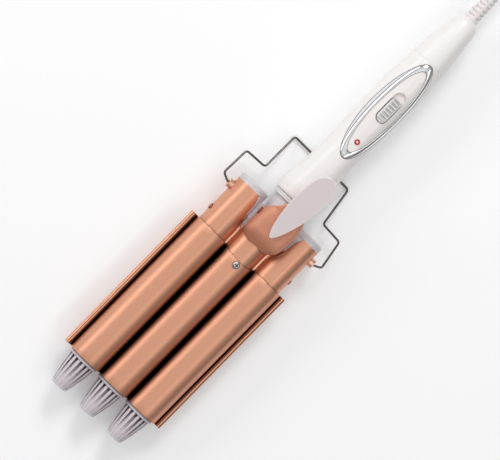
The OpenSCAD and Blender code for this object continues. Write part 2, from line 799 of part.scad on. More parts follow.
// Points of the handle's surface, moved out by grow, as [radius, x]
function handle_line(x0, x1, grow) = concat(
    [[handle_r(x0) + grow, x0]],
    [for (k = [0 : handle_cells])
        let (x = handle_x + k * handle_step)
        if (x > x0 + 0.01 && x < x1 - 0.01) [handle_r(x) + grow, x]],
    [[handle_r(x1) + grow, x1]]);
module handle_solid(x0, x1, grow) {
    turned(concat([[0, x0]], handle_line(x0, x1, grow), [[0, x1]]));
}
// Hollow skin between two depths under or over the handle's surface
module handle_skin(x0, x1, grow_out, grow_in) {
    inner = handle_line(x0, x1, grow_in);
    turned(concat(handle_line(x0, x1, grow_out), [for (i = [len(inner) - 1 : -1 : 0]) inner[i]]));
}

spigot_len = 7;        // the shells' rear spigot inside the sleeve
front_wall = 2.4;
rib_x = handle_x + 13; // rib that holds the neck, besides the front wall
boss_r = 2.8;
shell_screw_x = [96, 187.6];
shell_screw_r = 1.2;
shell_head_r = 2.1;
shell_head_h = 1.5;
shell_head_seat = 3;   // how deep the heads' seats lie under the surface
board_post_x = [122, 174];
board_post_r = 2.2;
board_screw_r = 0.9;
board_screw_len = 4;   // how far the screws reach under the board
split = 0.05;          // half of the joint line between the shells

module shells_solid() {
    difference() {
        union() {
            handle_solid(handle_x, seam_x, 0);
            handle_solid(seam_x - 1, seam_x + spigot_len, -handle_wall - seat);
        }
        handle_solid(handle_x + front_wall, seam_x - 2, -handle_wall);
        handle_solid(seam_x - 3, seam_x + spigot_len + 1, -2 * handle_wall);
        rod_x(neck_tail_r + seat, handle_x - 1, handle_x + front_wall + 1);
    }
    // rib on the neck's tail
    difference() {
        handle_solid(rib_x, rib_x + 3, -handle_wall + 0.5);
        rod_x(neck_tail_r + seat, rib_x - 1, rib_x + 4);
    }
}

panel_seat = 0.8;      // how far the panel reaches under the bezel
panel_depth = 2.2;

module handle_upper_shell() {
    color("white") place() difference() {
        union() {
            intersection() {
                shells_solid();
                box([handle_x - 1, -30, split], [seam_x + 20, 30, 30]);
            }
            for (x = shell_screw_x)
                intersection() {
                    translate([x, 0, split]) cylinder(r = boss_r, h = 30);
                    handle_solid(x - 5, x + 5, -handle_wall + 0.5);
                }
        }
        translate([panel_x, 0, split]) linear_extrude(30)
            oval(panel_len + 2 * panel_seat + 2 * seat, panel_w + 2 * panel_seat + 2 * seat);
        for (x = shell_screw_x) translate([x, 0, -1]) cylinder(r = shell_screw_r, h = 9);
    }
}

module handle_lower_shell() {
    color("whitesmoke") place() difference() {
        union() {
            intersection() {
                shells_solid();
                box([handle_x - 1, -30, -30], [seam_x + 20, 30, -split]);
            }
            for (x = shell_screw_x)
                intersection() {
                    translate([x, 0, -30]) cylinder(r = boss_r, h = 30 - split);
                    handle_solid(x - 5, x + 5, -handle_wall + 0.5);
                }
            for (x = board_post_x)
                intersection() {
                    translate([x, 0, -30]) cylinder(r = board_post_r, h = 30 + board_z);
                    handle_solid(x - 5, x + 5, -handle_wall + 0.5);
                }
        }
        for (x = shell_screw_x) {
            translate([x, 0, -30]) cylinder(r = shell_screw_r + run_fit, h = 40);
            translate([x, 0, -30])
                cylinder(r = shell_head_r + seat, h = 30 - handle_r(x) + shell_head_seat);
        }
        for (x = board_post_x)
            translate([x, 0, board_z - board_screw_len - 1]) cylinder(r = board_screw_r, h = 10);
    }
}

module shell_screws() {
    color("silver") place() for (x = shell_screw_x) {
        head_z = -handle_r(x) + shell_head_seat;
        difference() {
            translate([x, 0, head_z - shell_head_h]) cylinder(r = shell_head_r, h = shell_head_h - skin);
            for (a = [0, 90])
                translate([x, 0, head_z - 2]) rotate([0, 0, a]) box([-1.3, -0.3, 0], [1.3, 0.3, 1.2]);
        }
        translate([x, 0, head_z - 0.1]) cylinder(r = shell_screw_r - skin, h = 7.5 - head_z);
    }
}

module front_collar() {
    step_r = collar_d / 2;
    x0 = handle_x - collar_t;
    color("gainsboro") place() difference() {
        turned([
            [neck_r - 1, x0], [step_r - 1.1, x0], [step_r - 0.6, x0 + 0.5], [step_r - 0.6, x0 + 1.6],
            [step_r, x0 + 1.9], [step_r, handle_x - 0.9], [step_r - 0.6, handle_x - 0.6],
            [step_r - 0.6, handle_x - skin], [neck_r - 1, handle_x - skin]
        ]);
        rod_x(neck_r + skin, x0 - 1, handle_x + 1);
    }
}

tail_wall = 3;         // rear wall of the sleeve
hub_r = 7;
hub_len = 10.4;
tail_hole_r = boot_d / 2 + 0.5;
hub_rear = handle_end - tail_wall;
journal_front = hub_rear - 8.8;
flange_t = 2.4;
hub_flange_r = hub_r + 1.4;

module rear_sleeve() {
    color("whitesmoke") place() difference() {
        handle_solid(seam_x + 0.3, handle_end, 0);
        handle_solid(seam_x, journal_front, -handle_wall);
        rod_x(hub_r + run_fit, journal_front - 1, hub_rear);
        rod_x(tail_hole_r, hub_rear - 1, handle_end + 1);
    }
}

// Bezel and panel -----------------------------------------------------------

module bezel_ring() {
    color("silver") place() intersection() {
        handle_skin(panel_x - bezel_len / 2 - 3, panel_x + bezel_len / 2 + 3, bezel_h, skin);
        translate([panel_x, 0, 3]) linear_extrude(30) difference() {
            oval(bezel_len, bezel_w);
            oval(panel_len, panel_w);
        }
    }
}

recess_floor = handle_grip_d / 2 - 2.8;
recess_wall = 1.2;
stem_w = 3;
stem_x = recess_x - button_travel / 2;
well_w = recess_w + 2;

module control_panel() {
    color("mistyrose") place() difference() {
        union() {
            intersection() {
                handle_skin(panel_x - panel_len / 2 - 3, panel_x + panel_len / 2 + 3, -0.03, -panel_depth);
                translate([panel_x, 0, 3]) linear_extrude(30)
                    oval(panel_len + 2 * panel_seat, panel_w + 2 * panel_seat);
            }
            translate([recess_x, 0, recess_floor - recess_wall]) linear_extrude(2.6)
                slot_outline(recess_len + 2, well_w);
        }
        translate([recess_x, 0, recess_floor]) linear_extrude(10) slot_outline(recess_len, recess_w);
        translate([stem_x + button_travel / 2, 0, 0]) linear_extrude(30)
            square([stem_w + button_travel + 1, stem_w + 0.6], center = true);
        translate([lens_x, 0, 0]) cylinder(d = lens_d + 2 * run_fit, h = 30);
    }
}

module indicator_lens() {
    top = handle_r(lens_x) + 0.5;
    color("red") place() translate([lens_x, 0, top - 3.2]) {
        cylinder(d = lens_d, h = 2.7);
        translate([0, 0, 2.7]) cylinder(d1 = lens_d, d2 = lens_d - 1.4, h = 0.5);
    }
}

module indicator_led() {
    low = board_z + board_t;
    high = handle_r(lens_x) - 2.7 - face_gap;
    color("pink") place() translate([lens_x, 0, low]) {
        cylinder(r = 1.9, h = 1);
        cylinder(r = 1.5, h = high - low - 1.5);
        translate([0, 0, high - low - 1.5]) sphere(r = 1.5);
    }
}

button_w = recess_w - 1;
button_top = handle_grip_d / 2 + 0.2;
rib_count = 7;
rib_pitch = 2.6;
button_x0 = recess_x - recess_len / 2 + (recess_len - button_len - button_travel) / 2;
switch_top = recess_floor - recess_wall - face_gap;

module power_button() {
    mid = button_x0 + button_len / 2;
    color("lightgray") place() {
        translate([mid, 0, recess_floor + face_gap])
            linear_extrude(button_top - recess_floor - face_gap) slot_outline(button_len, button_w);
        for (i = [0 : rib_count - 1])
            translate([mid + (i - (rib_count - 1) / 2) * rib_pitch, 0, button_top - 0.1])
                rod_y(0.75, -button_w / 2 + 0.7, button_w / 2 - 0.7);
        box([stem_x - stem_w / 2, -stem_w / 2, switch_top - 3],
            [stem_x + stem_w / 2, stem_w / 2, recess_floor + 1]);
    }
}

module slide_switch() {
    low = board_z + board_t;
    color("dimgray") place() difference() {
        box([recess_x - 11, -4.5, low], [recess_x + 11, 4.5, switch_top]);
        translate([stem_x + button_travel / 2, 0, switch_top])
            cube([stem_w + button_travel + 1, stem_w + 0.6, 6.8], center = true);
    }
}

module circuit_board() {
    color("darkgreen") place() difference() {
        box([board_x0, -board_w / 2, board_z], [board_x1, board_w / 2, board_z + board_t - skin]);
        for (x = board_post_x) translate([x, 0, 0]) cylinder(r = board_screw_r + seat, h = 10);
    }
}

module board_screws() {
    color("silver") place() for (x = board_post_x) {
        translate([x, 0, board_z + board_t]) cylinder(r = 2, h = 1.3);
        translate([x, 0, board_z - board_screw_len])
            cylinder(r = board_screw_r - skin, h = board_t + board_screw_len + 0.1);
    }
}

capacitor_size = [11, 11, 5.5];
capacitor_x = 126;
triac_size = [4.5, 9.2, 1.6];
triac_x = 176.5;

// Block that stands on the board with its front at x
module on_board(x, size) {
    translate([x, -size[1] / 2, board_z + board_t]) cube(size);
}

module capacitor() {
    color("goldenrod") place() on_board(capacitor_x, capacitor_size);
}

module triac() {
    color("black") place() on_board(triac_x, triac_size);
}

// Swivel --------------------------------------------------------------------

flange_rear = journal_front - face_gap;
contact_rear = flange_rear - flange_t - face_gap;
contact_share = 0.28;  // share of the sleeve's free length that the ring takes
contact_front = contact_rear - contact_share * (contact_rear - seam_x - spigot_len - face_gap);

module contact_ring() {
    color("peru") place() difference() {
        handle_solid(contact_front, contact_rear, -handle_wall - seat);
        rod_x(4, contact_front - 1, contact_rear + 1);
    }
}

module supply_leads() {
    z = board_z + board_t / 2;
    color("ivory") place() for (s = [-1, 1])
        swept([[board_x1 + 0.1, s * 5, z], [seam_x - 2, s * 5, z - 1], [contact_front - 0.1, s * 5.5, 2]],
              0.9, 8);
}

module swivel_hub() {
    color("dimgray") place() difference() {
        union() {
            rod_x(hub_r, flange_rear - 0.1, hub_rear - 0.1);
            rod_x(hub_flange_r, flange_rear - flange_t, flange_rear);
        }
        rod_x(lead_d / 2 + 0.2, flange_rear - flange_t - 1, hub_rear + 1);
    }
}

boot_x1 = hub_rear + tail_wall + boot_len;
boot_end_r = lead_d / 2 + 1.2;
boot_pitch = (boot_len - 2) / boot_segments;
function boot_r(x) = boot_d / 2 + (boot_end_r - boot_d / 2) * (x - handle_end) / boot_len;

module strain_relief() {
    groove = 1.1;
    depth = 0.9;
    color("lavenderblush") place()
        turned(concat(
            [[0, hub_rear], [boot_d / 2 - depth, hub_rear], [boot_d / 2 - depth, handle_end + 0.6]],
            [for (i = [0 : boot_segments - 1])
                let (x = handle_end + 0.6 + i * boot_pitch)
                each [[boot_r(x), x], [boot_r(x + boot_pitch - groove), x + boot_pitch - groove],
                      [boot_r(x + boot_pitch - groove) - depth, x + boot_pitch - groove],
                      [boot_r(x + boot_pitch) - depth, x + boot_pitch]]],
            [[boot_end_r, boot_x1 - 1.4], [boot_end_r, boot_x1], [0, boot_x1]]));
}

// Lead ----------------------------------------------------------------------

lead_r = lead_d / 2;
coil_x = 340;
coil_y = 41;
coil_in = 26;
coil_out = 44;
coil_h = 18;
tie_w = 8;
tie_t = 1;
tie_gap = 0.1;
tie_in = sqrt(pow(coil_in, 2) - pow(tie_w / 2, 2)) - tie_gap; // coil's inner side under the tie

// Route of the lead from the strain relief to the coil, heights over the table
run_route = [
    [272, 0, 18], [280, 0, 18], [288, 0, 17], [296, 0, 13.5],
    [304, 0, 8.5], [312, 0, 4.5], [320, 0, 3], [330, 0, 3]
];
// Route from the top of the coil to the plug
tail_route = [
    [316, 73, 15], [308, 73, 14.6], [300, 73, 13], [292, 73, 9.8], [286, 73, 7.5], [283, 73, 7],
    [280.1, 73, 7]
];
function on_table(route) = [for (p = route) [p[0], p[1], p[2] + floor_z]];

module lead_run() {
    color("whitesmoke") place() swept(on_table(run_route), lead_r, 10);
}

module lead_tail() {
    color("whitesmoke") place() swept(on_table(tail_route), lead_r, 10);
}

module lead_coil() {
    color("whitesmoke") place() translate([coil_x, coil_y, floor_z]) difference() {
        rotate_extrude($fn = 96) polygon(concat(
            [for (a = [180 : 30 : 270]) [coil_in + lead_r + lead_r * cos(a), lead_r + lead_r * sin(a)]],
            [for (a = [270 : 30 : 360]) [coil_out - lead_r + lead_r * cos(a), lead_r + lead_r * sin(a)]],
            [for (a = [0 : 30 : 90])
                [coil_out - lead_r + lead_r * cos(a), coil_h - lead_r + lead_r * sin(a)]],
            [for (a = [90 : 30 : 180])
                [coil_in + lead_r + lead_r * cos(a), coil_h - lead_r + lead_r * sin(a)]]));
        // the tie passes under the coil
        translate([coil_in - 2, -tie_w / 2 - tie_gap, -1])
            cube([coil_out - coil_in + 4, tie_w + 2 * tie_gap, 1 + tie_t + tie_gap]);
    }
}

// Flat band round the turns of the coil
module lead_tie() {
    band = tie_gap + tie_t;
    color("dimgray") place() translate([coil_x, coil_y, floor_z]) difference() {
        translate([tie_in - band, -tie_w / 2, 0])
            cube([coil_out - tie_in + 2 * band, tie_w, coil_h + band]);
        translate([tie_in - tie_gap, -tie_w, tie_t])
            cube([coil_out - tie_in + 2 * tie_gap, 2 * tie_w, coil_h - tie_t + tie_gap]);
    }
}

plug_cord_x = 280;
plug_len = 34;
plug_w = 34;
plug_h = 14;
plug_neck_w = 11;
plug_y = 73;
plug_z = floor_z + plug_h / 2;
plug_face = plug_cord_x - plug_len;
pin_socket = 12;       // how deep the pins' roots sit in the plug
pin_root_r = 1.4;
pin_relief = 0.5;       // depth of the ring-shaped relief round a pin

module plug_body() {
    color("whitesmoke") place() translate([plug_cord_x, plug_y, plug_z]) difference() {
        intersection() {
            translate([0, 0, -plug_h / 2]) linear_extrude(plug_h) polygon([
                [0, -plug_neck_w / 2], [0, plug_neck_w / 2], [-9, plug_neck_w / 2 + 0.6],
                [-15, plug_w / 2 - 3.4], [-18, plug_w / 2 - 0.8], [-22, plug_w / 2], [-plug_len, plug_w / 2],
                [-plug_len, -plug_w / 2], [-22, -plug_w / 2], [-18, -plug_w / 2 + 0.8],
                [-15, -plug_w / 2 + 3.4], [-9, -plug_neck_w / 2 - 0.6]
            ]);
            side_sheet(2 * plug_w) polygon([
                [0, -plug_neck_w / 2], [0, plug_neck_w / 2], [-9, plug_neck_w / 2 + 0.2],
                [-16, plug_h / 2], [-plug_len, plug_h / 2],
                [-plug_len, -plug_h / 2], [-16, -plug_h / 2], [-9, -plug_neck_w / 2 - 0.2]
            ]);
            cross_sheet(-plug_len - 1, 1) slot_outline(plug_w, plug_h);
        }
        for (s = [-1, 1]) translate([0, s * plug_pin_pitch / 2, 0]) {
            rod_x(pin_root_r, -plug_len - 1, -plug_len + pin_socket);
            rod_x(plug_pin_d / 2 + seat, -plug_len - 1, -plug_len + pin_relief);
        }
    }
}

module plug_pins() {
    pin_r = plug_pin_d / 2;
    chamfer = 1;
    inner_end = pin_socket - 0.1;
    color("silver") place() for (s = [-1, 1])
        translate([plug_face, plug_y + s * plug_pin_pitch / 2, plug_z]) turned([
            [0, inner_end], [pin_root_r - skin, inner_end], [pin_root_r - skin, -skin], [pin_r, -skin],
            [pin_r, chamfer - plug_pin_len], [pin_r - chamfer, -plug_pin_len], [0, -plug_pin_len]
        ]);
}

// Nodes of the mirrored pieces ----------------------------------------------

module barrel_left() { color("darksalmon") place() outer_barrel(-1); }
module barrel_right() { color("darksalmon") place() outer_barrel(1); }
module barrel_middle() { color("darksalmon") place() barrel_tube(middle_bare); }
module tip_left() { color("silver") place() translate([0, -pitch, 0]) tip(); }
module tip_middle() { color("silver") place() tip(); }
module tip_right() { color("silver") place() translate([0, pitch, 0]) tip(); }
module heater_left() { color("ivory") place() translate([0, -pitch, 0]) heater(); }
module heater_middle() { color("ivory") place() heater(); }
module heater_right() { color("ivory") place() translate([0, pitch, 0]) heater(); }
module spreader_left() { color("lightsteelblue") place() translate([0, -pitch, 0]) spreader(); }
module spreader_middle() { color("lightsteelblue") place() spreader(); }
module spreader_right() { color("lightsteelblue") place() translate([0, pitch, 0]) spreader(); }
module end_cap_left() { color("gainsboro") place() translate([0, -pitch, 0]) end_cap(); }
module end_cap_right() { color("gainsboro") place() translate([0, pitch, 0]) end_cap(); }
module stand_lug_left() { color("darksalmon") place() stand_lug(-1); }
module stand_lug_right() { color("darksalmon") place() stand_lug(1); }

barrel_left();
barrel_middle();
barrel_right();
tip_left();
tip_middle();
tip_right();
heater_left();
heater_middle();
heater_right();
spreader_left();
spreader_middle();
spreader_right();
thermal_fuse();
heater_leads();
barrel_yoke();
end_cap_left();
end_cap_right();
barrel_screws();
stand_lug_left();
stand_lug_right();
stand_wire();
clamp_plate();
clamp_arm();
clamp_screw();
thumb_lever();
lever_screws();
pivot_pin();
clamp_spring();
front_collar();
handle_upper_shell();
handle_lower_shell();
rear_sleeve();
shell_screws();
bezel_ring();
control_panel();
indicator_lens();
indicator_led();
power_button();
slide_switch();
circuit_board();
board_screws();
capacitor();
triac();
supply_leads();
contact_ring();
swivel_hub();
strain_relief();
lead_run();
lead_coil();
lead_tail();
lead_tie();
plug_body();
plug_pins();
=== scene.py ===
"""Looks of a three-barrel hair waver: dressed pieces, finishes, lead and a plain studio.

Sizes in millimetres are measured from the clamp plate's edge next to the handle (x), the
waver's middle plane (y) and the plane of the barrels' axes (z). at() turns them into the
frame's metres. +X runs to the lead, +Z up through the thumb lever, +Y to the right.
"""

import math
from typing import NamedTuple

import bmesh
import bpy
from bpy.props import FloatProperty, FloatVectorProperty, IntProperty, PointerProperty
from mathutils import Matrix, Vector


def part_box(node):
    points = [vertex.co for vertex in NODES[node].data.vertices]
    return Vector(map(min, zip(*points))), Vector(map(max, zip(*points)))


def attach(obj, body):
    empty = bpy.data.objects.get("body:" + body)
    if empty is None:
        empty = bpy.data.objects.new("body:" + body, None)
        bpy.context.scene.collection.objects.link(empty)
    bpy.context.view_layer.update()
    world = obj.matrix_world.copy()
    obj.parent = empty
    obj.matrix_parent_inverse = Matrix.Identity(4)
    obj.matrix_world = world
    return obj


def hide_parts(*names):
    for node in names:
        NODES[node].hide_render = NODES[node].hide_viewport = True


bl_info = {
    "name": "Hair Waver Dressing",
    "version": (1, 0, 0),
    "blender": (4, 5, 0),
    "location": "View3D > Sidebar > Waver",
    "description": "Models the visible pieces of a hair waver and gives every piece its finish",
    "category": "Object",
}

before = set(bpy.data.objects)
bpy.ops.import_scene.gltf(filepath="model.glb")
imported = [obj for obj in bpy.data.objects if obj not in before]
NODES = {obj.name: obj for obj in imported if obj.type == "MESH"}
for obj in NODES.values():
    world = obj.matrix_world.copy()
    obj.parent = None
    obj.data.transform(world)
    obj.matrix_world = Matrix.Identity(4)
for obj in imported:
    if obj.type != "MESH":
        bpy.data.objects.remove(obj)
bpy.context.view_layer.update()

# ---- Places taken from the frame ----

MM = 0.001
PLATE_LOW, PLATE_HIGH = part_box("clamp_plate")
BARREL_LOW, BARREL_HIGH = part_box("barrel_right")
SLEEVE_LOW, SLEEVE_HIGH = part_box("rear_sleeve")
SHELL_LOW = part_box("handle_upper_shell")[0]

EDGE_X = PLATE_HIGH.x  # clamp plate's edge, x = 0
AXIS_Z = (BARREL_LOW.z + BARREL_HIGH.z) / 2  # barrels' axes, z = 0


def at(x, y=0.0, z=0.0):
    """Point of the frame, in metres, from millimetres on the waver"""
    return Vector((EDGE_X + x * MM, y * MM, AXIS_Z + z * MM))


def along(point):
    """Distance of a frame coordinate from the clamp plate's edge, in millimetres"""
    return (point - EDGE_X) / MM


PITCH = (BARREL_LOW.y + BARREL_HIGH.y) / 2 / MM  # from one barrel to the next
TUBE_FRONT = along(BARREL_LOW.x)
HANDLE_X = along(SHELL_LOW.x)
HANDLE_END = along(SLEEVE_HIGH.x)
SEAM_X = along(SLEEVE_LOW.x) - 0.3
PLATE_LEN = along(PLATE_HIGH.x) - along(PLATE_LOW.x)
FLOOR_Z = -AXIS_Z / MM
SIDES = (("left", -1), ("right", 1))


def srgb(hexcode):
    """Linear colour from an sRGB hex value"""
    channels = [int(hexcode[i:i + 2], 16) / 255 for i in (1, 3, 5)]
    return tuple(c / 12.92 if c <= 0.04045 else ((c + 0.055) / 1.055) ** 2.4 for c in channels)


# ---- Sizes and colours that a user would change ----

def length(name, millimetres, description):
    """Property for a length"""
    return FloatProperty(name=name, description=description, default=millimetres * MM, min=0.0,
                         precision=5, unit="LENGTH")


def tint(name, hexcode, description):
    """Property for a colour"""
    return FloatVectorProperty(name=name, description=description, default=srgb(hexcode), size=3,
                               min=0.0, max=1.0, subtype="COLOR")


class WaverSizes(bpy.types.PropertyGroup):
    """Sizes of the dressed pieces"""
    tip_slots: IntProperty(name="Tip slots", description="Slots round a cool tip", default=16,
                           min=8, max=20)
    tip_slot_depth: length("Tip slot depth", 2.2, "Depth of a tip's slots next to the ring")
    plate_wall: length("Plate wall", 0.8, "Sheet thickness of the clamp plate")
    plate_lean: length("Plate lean", 2.9, "How far the middle crest stays back from the edge")
    lever_thickness: length("Lever thickness", 2.8, "Thickness of the thumb lever")
    lever_edge: length("Lever edge", 0.5, "Rounding round the thumb lever")
    wire_diameter: length("Stand wire", 1.7, "Diameter of the stand's wire")
    bezel_height: length("Bezel height", 0.9, "How far the bezel stands out of the handle")
    button_ribs: IntProperty(name="Button ribs", description="Ribs on the sliding button",
                             default=7, min=3, max=9)
    lead_diameter: length("Lead diameter", 6.0, "Diameter of the lead")


class WaverColors(bpy.types.PropertyGroup):
    """Colours of the finishes"""
    rose_metal: tint("Rose metal", "#DFA487", "Anodised barrels and clamp plate")
    rose_lacquer: tint("Rose lacquer", "#DC9679", "Sprayed saddle of the clamp")
    lever: tint("Lever", "#E6DADA", "Thumb lever")
    tip: tint("Tip", "#DAD1D7", "Cool tips")
    yoke: tint("Yoke", "#D8D1D6", "Neck and end caps")
    pearl: tint("Pearl", "#F1EDEB", "Handle shells, collar and rear sleeve")
    panel: tint("Panel", "#F2ECE9", "Control panel")
    button: tint("Button", "#E6E2E1", "Sliding button")
    lamp: tint("Lamp", "#AE1B34", "Ring of the indicator")
    lead: tint("Lead", "#EFEBE8", "Lead and plug")


# ---- Modelling helpers ----

def activate(obj):
    """Only this object selected and active, in object mode"""
    if bpy.context.object and bpy.context.object.mode != "OBJECT":
        bpy.ops.object.mode_set(mode="OBJECT")
    bpy.ops.object.select_all(action="DESELECT")
    if obj:
        obj.select_set(True)
    bpy.context.view_layer.objects.active = obj
    return obj


def named(name):
    """Names the active object and its mesh, and puts its place into its mesh"""
    obj = bpy.context.object
    obj.name = name
    obj.data.name = name
    activate(obj)
    bpy.ops.object.transform_apply(location=True, rotation=True, scale=True)
    return obj


def edit(obj):
    """Edit mode with everything selected, by vertices"""
    activate(obj)
    bpy.ops.object.mode_set(mode="EDIT")
    bpy.ops.mesh.select_mode(type="VERT")
    bpy.ops.mesh.select_all(action="SELECT")


def modify(obj, kind, **settings):
    """Adds a modifier and applies it"""
    activate(obj)
    modifier = obj.modifiers.new(kind.title(), kind)
    for key, value in settings.items():
        setattr(modifier, key, value)
    bpy.ops.object.modifier_apply(modifier=modifier.name)
    return obj


def face_out():
    """In edit mode, turns the selected faces outwards and goes back to object mode"""
    bpy.ops.mesh.normals_make_consistent(inside=False)
    bpy.ops.object.mode_set(mode="OBJECT")


def merge_doubles(obj):
    """Merges doubles and turns every face outwards"""
    edit(obj)
    bpy.ops.mesh.remove_doubles(threshold=0.004 * MM)
    face_out()
    return obj


def face_up(obj):
    """Turns an open sheet so that its faces look up"""
    if sum(face.normal.z * face.area for face in obj.data.polygons) < 0:
        edit(obj)
        bpy.ops.mesh.flip_normals()
        bpy.ops.object.mode_set(mode="OBJECT")
    return obj


def capped(obj):
    """Closes the holes of a piece and turns its faces outwards"""
    edit(obj)
    bpy.ops.mesh.fill_holes(sides=0)
    face_out()
    return obj


def smooth(obj, angle=35):
    """Smooth shading that keeps edges sharper than the angle"""
    activate(obj)
    bpy.ops.object.shade_smooth_by_angle(angle=math.radians(angle))
    return obj


def walled(obj, wall, even=False):
    """Gives a sheet a wall that grows inwards from its faces"""
    return modify(obj, "SOLIDIFY", thickness=wall, offset=-1, use_even_offset=even)


def soften(obj, width, segments=3, angle=35):
    """Rounds the sharp edges of a piece"""
    return modify(obj, "BEVEL", width=width * MM, segments=segments, limit_method="ANGLE",
                  angle_limit=math.radians(angle), use_clamp_overlap=True)


def pick_faces(obj, test):
    """In edit mode, selects the faces whose middle, in millimetres on the waver, passes the test"""
    bpy.ops.mesh.select_mode(type="FACE")
    bpy.ops.mesh.select_all(action="DESELECT")
    mesh = bmesh.from_edit_mesh(obj.data)
    for face in mesh.faces:
        face.select_set(test((face.calc_center_median() - at(0)) / MM))
    bmesh.update_edit_mesh(obj.data)


def sink_faces(obj, test, depth):
    """Extrudes the faces that pass the test towards the x axis, by depth(place) millimetres"""
    edit(obj)
    pick_faces(obj, test)
    bpy.ops.mesh.extrude_region_move()
    mesh = bmesh.from_edit_mesh(obj.data)
    for point in [p for p in mesh.verts if p.select]:
        place = (point.co - at(0)) / MM
        share = 1 - depth(place) / math.hypot(place.y, place.z)
        point.co = at(place.x, place.y * share, place.z * share)
    bmesh.update_edit_mesh(obj.data)
    bpy.ops.object.mode_set(mode="OBJECT")
    return obj


def lathe(name, outline, segments=96, middle=(0.0, 0.0), upright=False):
    """Surface turned about an axis along X, or Z if upright: a circle that is extruded and
    scaled from one [place, radius] of the outline to the next. A radius of 0 closes an end."""
    def point(place):
        return at(middle[0], middle[1], place) if upright else at(place, middle[0], middle[1])

    activate(None)
    closed = outline[0][1] == 0
    rings = outline[1:] if closed else outline
    place, radius = rings[0]
    bpy.ops.mesh.primitive_circle_add(
        vertices=segments, radius=radius * MM, fill_type="NGON" if closed else "NOTHING",
        location=point(place), rotation=(0, 0 if upright else math.pi / 2, 0))
    obj = named(name)
    edit(obj)
    for next_place, next_radius in rings[1:]:
        bpy.ops.mesh.extrude_region_move(
            TRANSFORM_OT_translate={"value": point(next_place) - point(place)})
        place = next_place
        if next_radius == 0:
            bpy.ops.mesh.merge(type="CENTER")
            break
        share = next_radius / radius
        bpy.ops.transform.resize(value=(share, share, 1) if upright else (1, share, share),
                                 center_override=point(place))
        radius = next_radius
    return merge_doubles(obj)


def warped(name, columns, rows, place):
    """A grid whose points are moved to place(u, v), with u and v from 0 to 1"""
    activate(None)
    bpy.ops.mesh.primitive_grid_add(x_subdivisions=columns, y_subdivisions=rows, size=1,
                                    location=(0.5, 0.5, 0))
    obj = named(name)
    for point in obj.data.vertices:
        point.co = place(point.co.x, point.co.y)
    return merge_doubles(obj)


def joined(name, *parts):
    """Several meshes as one piece"""
    activate(parts[0])
    for part in parts:
        part.select_set(True)
    bpy.ops.object.join()
    return named(name)


def copied(obj, name, shift):
    """A copy with its own mesh, moved by millimetres"""
    activate(obj)
    bpy.ops.object.duplicate()
    bpy.ops.transform.translate(value=Vector(shift) * MM)
    return named(name)


def copy_of_node(node_name, name):
    """A merged copy of a CAD node's mesh, to be softened and smoothed"""
    obj = bpy.data.objects.new(name, NODES[node_name].data.copy())
    bpy.context.scene.collection.objects.link(obj)
    obj.data.name = name
    activate(obj)
    bpy.ops.mesh.customdata_custom_splitnormals_clear()
    edit(obj)
    bpy.ops.mesh.remove_doubles(threshold=0.001 * MM)
    bpy.ops.object.mode_set(mode="OBJECT")
    return obj


def finished(obj, name, *nodes, slot, body="body"):
    """Gives a piece a named finish and its body, and hides the CAD nodes that it replaces"""
    obj.data.materials.clear()
    obj.data.materials.append(surface(name))
    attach(obj, body)
    if nodes:
        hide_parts(*nodes)
    return obj


def paint(name, *nodes):
    """Gives CAD nodes that stay in view a named finish"""
    for each in nodes:
        mesh = NODES[each].data
        mesh.materials.clear()
        mesh.materials.append(surface(name))


# ---- Shapes shared by the pieces ----

def blend(a, b, share):
    """Value between a and b"""
    return a + (b - a) * share


def smooth_at(points, x):
    """Height at x of a smooth curve through [x, height] points, as in the CAD source"""
    def slope(i):
        low = max(i - 1, 0)
        high = min(i + 1, len(points) - 1)
        return (points[high][1] - points[low][1]) / (points[high][0] - points[low][0])

    i = 0
    while i < len(points) - 2 and x > points[i + 1][0]:
        i += 1
    (x0, y0), (x1, y1) = points[i], points[i + 1]
    run = x1 - x0
    t = (x - x0) / run
    return ((2 * t ** 3 - 3 * t * t + 1) * y0 + (t ** 3 - 2 * t * t + t) * run * slope(i)
            + (3 * t * t - 2 * t ** 3) * y1 + (t ** 3 - t * t) * run * slope(i + 1))


# Outline of the handle at [distance from its front, radius]
HANDLE_STATIONS = [
    (0, 17.5), (9, 18), (20, 16.3), (37.6, 14.8), (52, 14.4), (72, 14.95), (97, 15.75),
    (111, 15.75), (126, 14.95), (138, 14.2), (156.4, 12.6), (175, 10.1), (179, 8.9), (181.6, 6.9)]


def handle_r(x):
    """Radius of the handle's surface"""
    return smooth_at(HANDLE_STATIONS, min(max(x - HANDLE_X, 0), HANDLE_STATIONS[-1][0]))


def on_handle(x, y, height):
    """Point over the handle's surface, at a height out of it"""
    radius = handle_r(x) + height
    return at(x, y, math.sqrt(max(radius * radius - y * y, 0)))


def stadium(angle, half_len, half_w):
    """Point of an outline with straight sides and round ends, seen from its middle"""
    run, rise = math.cos(angle), math.sin(angle)
    straight = half_len - half_w
    if abs(run) * half_w <= abs(rise) * straight:
        return run * half_w / abs(rise), math.copysign(half_w, rise)
    side = math.copysign(straight, run)
    reach = run * side + math.sqrt(half_w * half_w - (rise * side) ** 2)
    return run * reach, rise * reach


# ---- Finishes ----

def node(tree, kind, links=(), **settings):
    """Adds a shader node with its settings and links. A link is (socket, source node, source
    socket). A setting whose name is an attribute of the node sets that, any other its socket."""
    made = tree.nodes.new(kind)
    for key, value in settings.items():
        if hasattr(made, key):
            setattr(made, key, value)
        else:
            made.inputs[key.replace("_", " ")].default_value = value
    for socket, source, output in links:
        tree.links.new(made.inputs[socket], source.outputs[output])
    return made


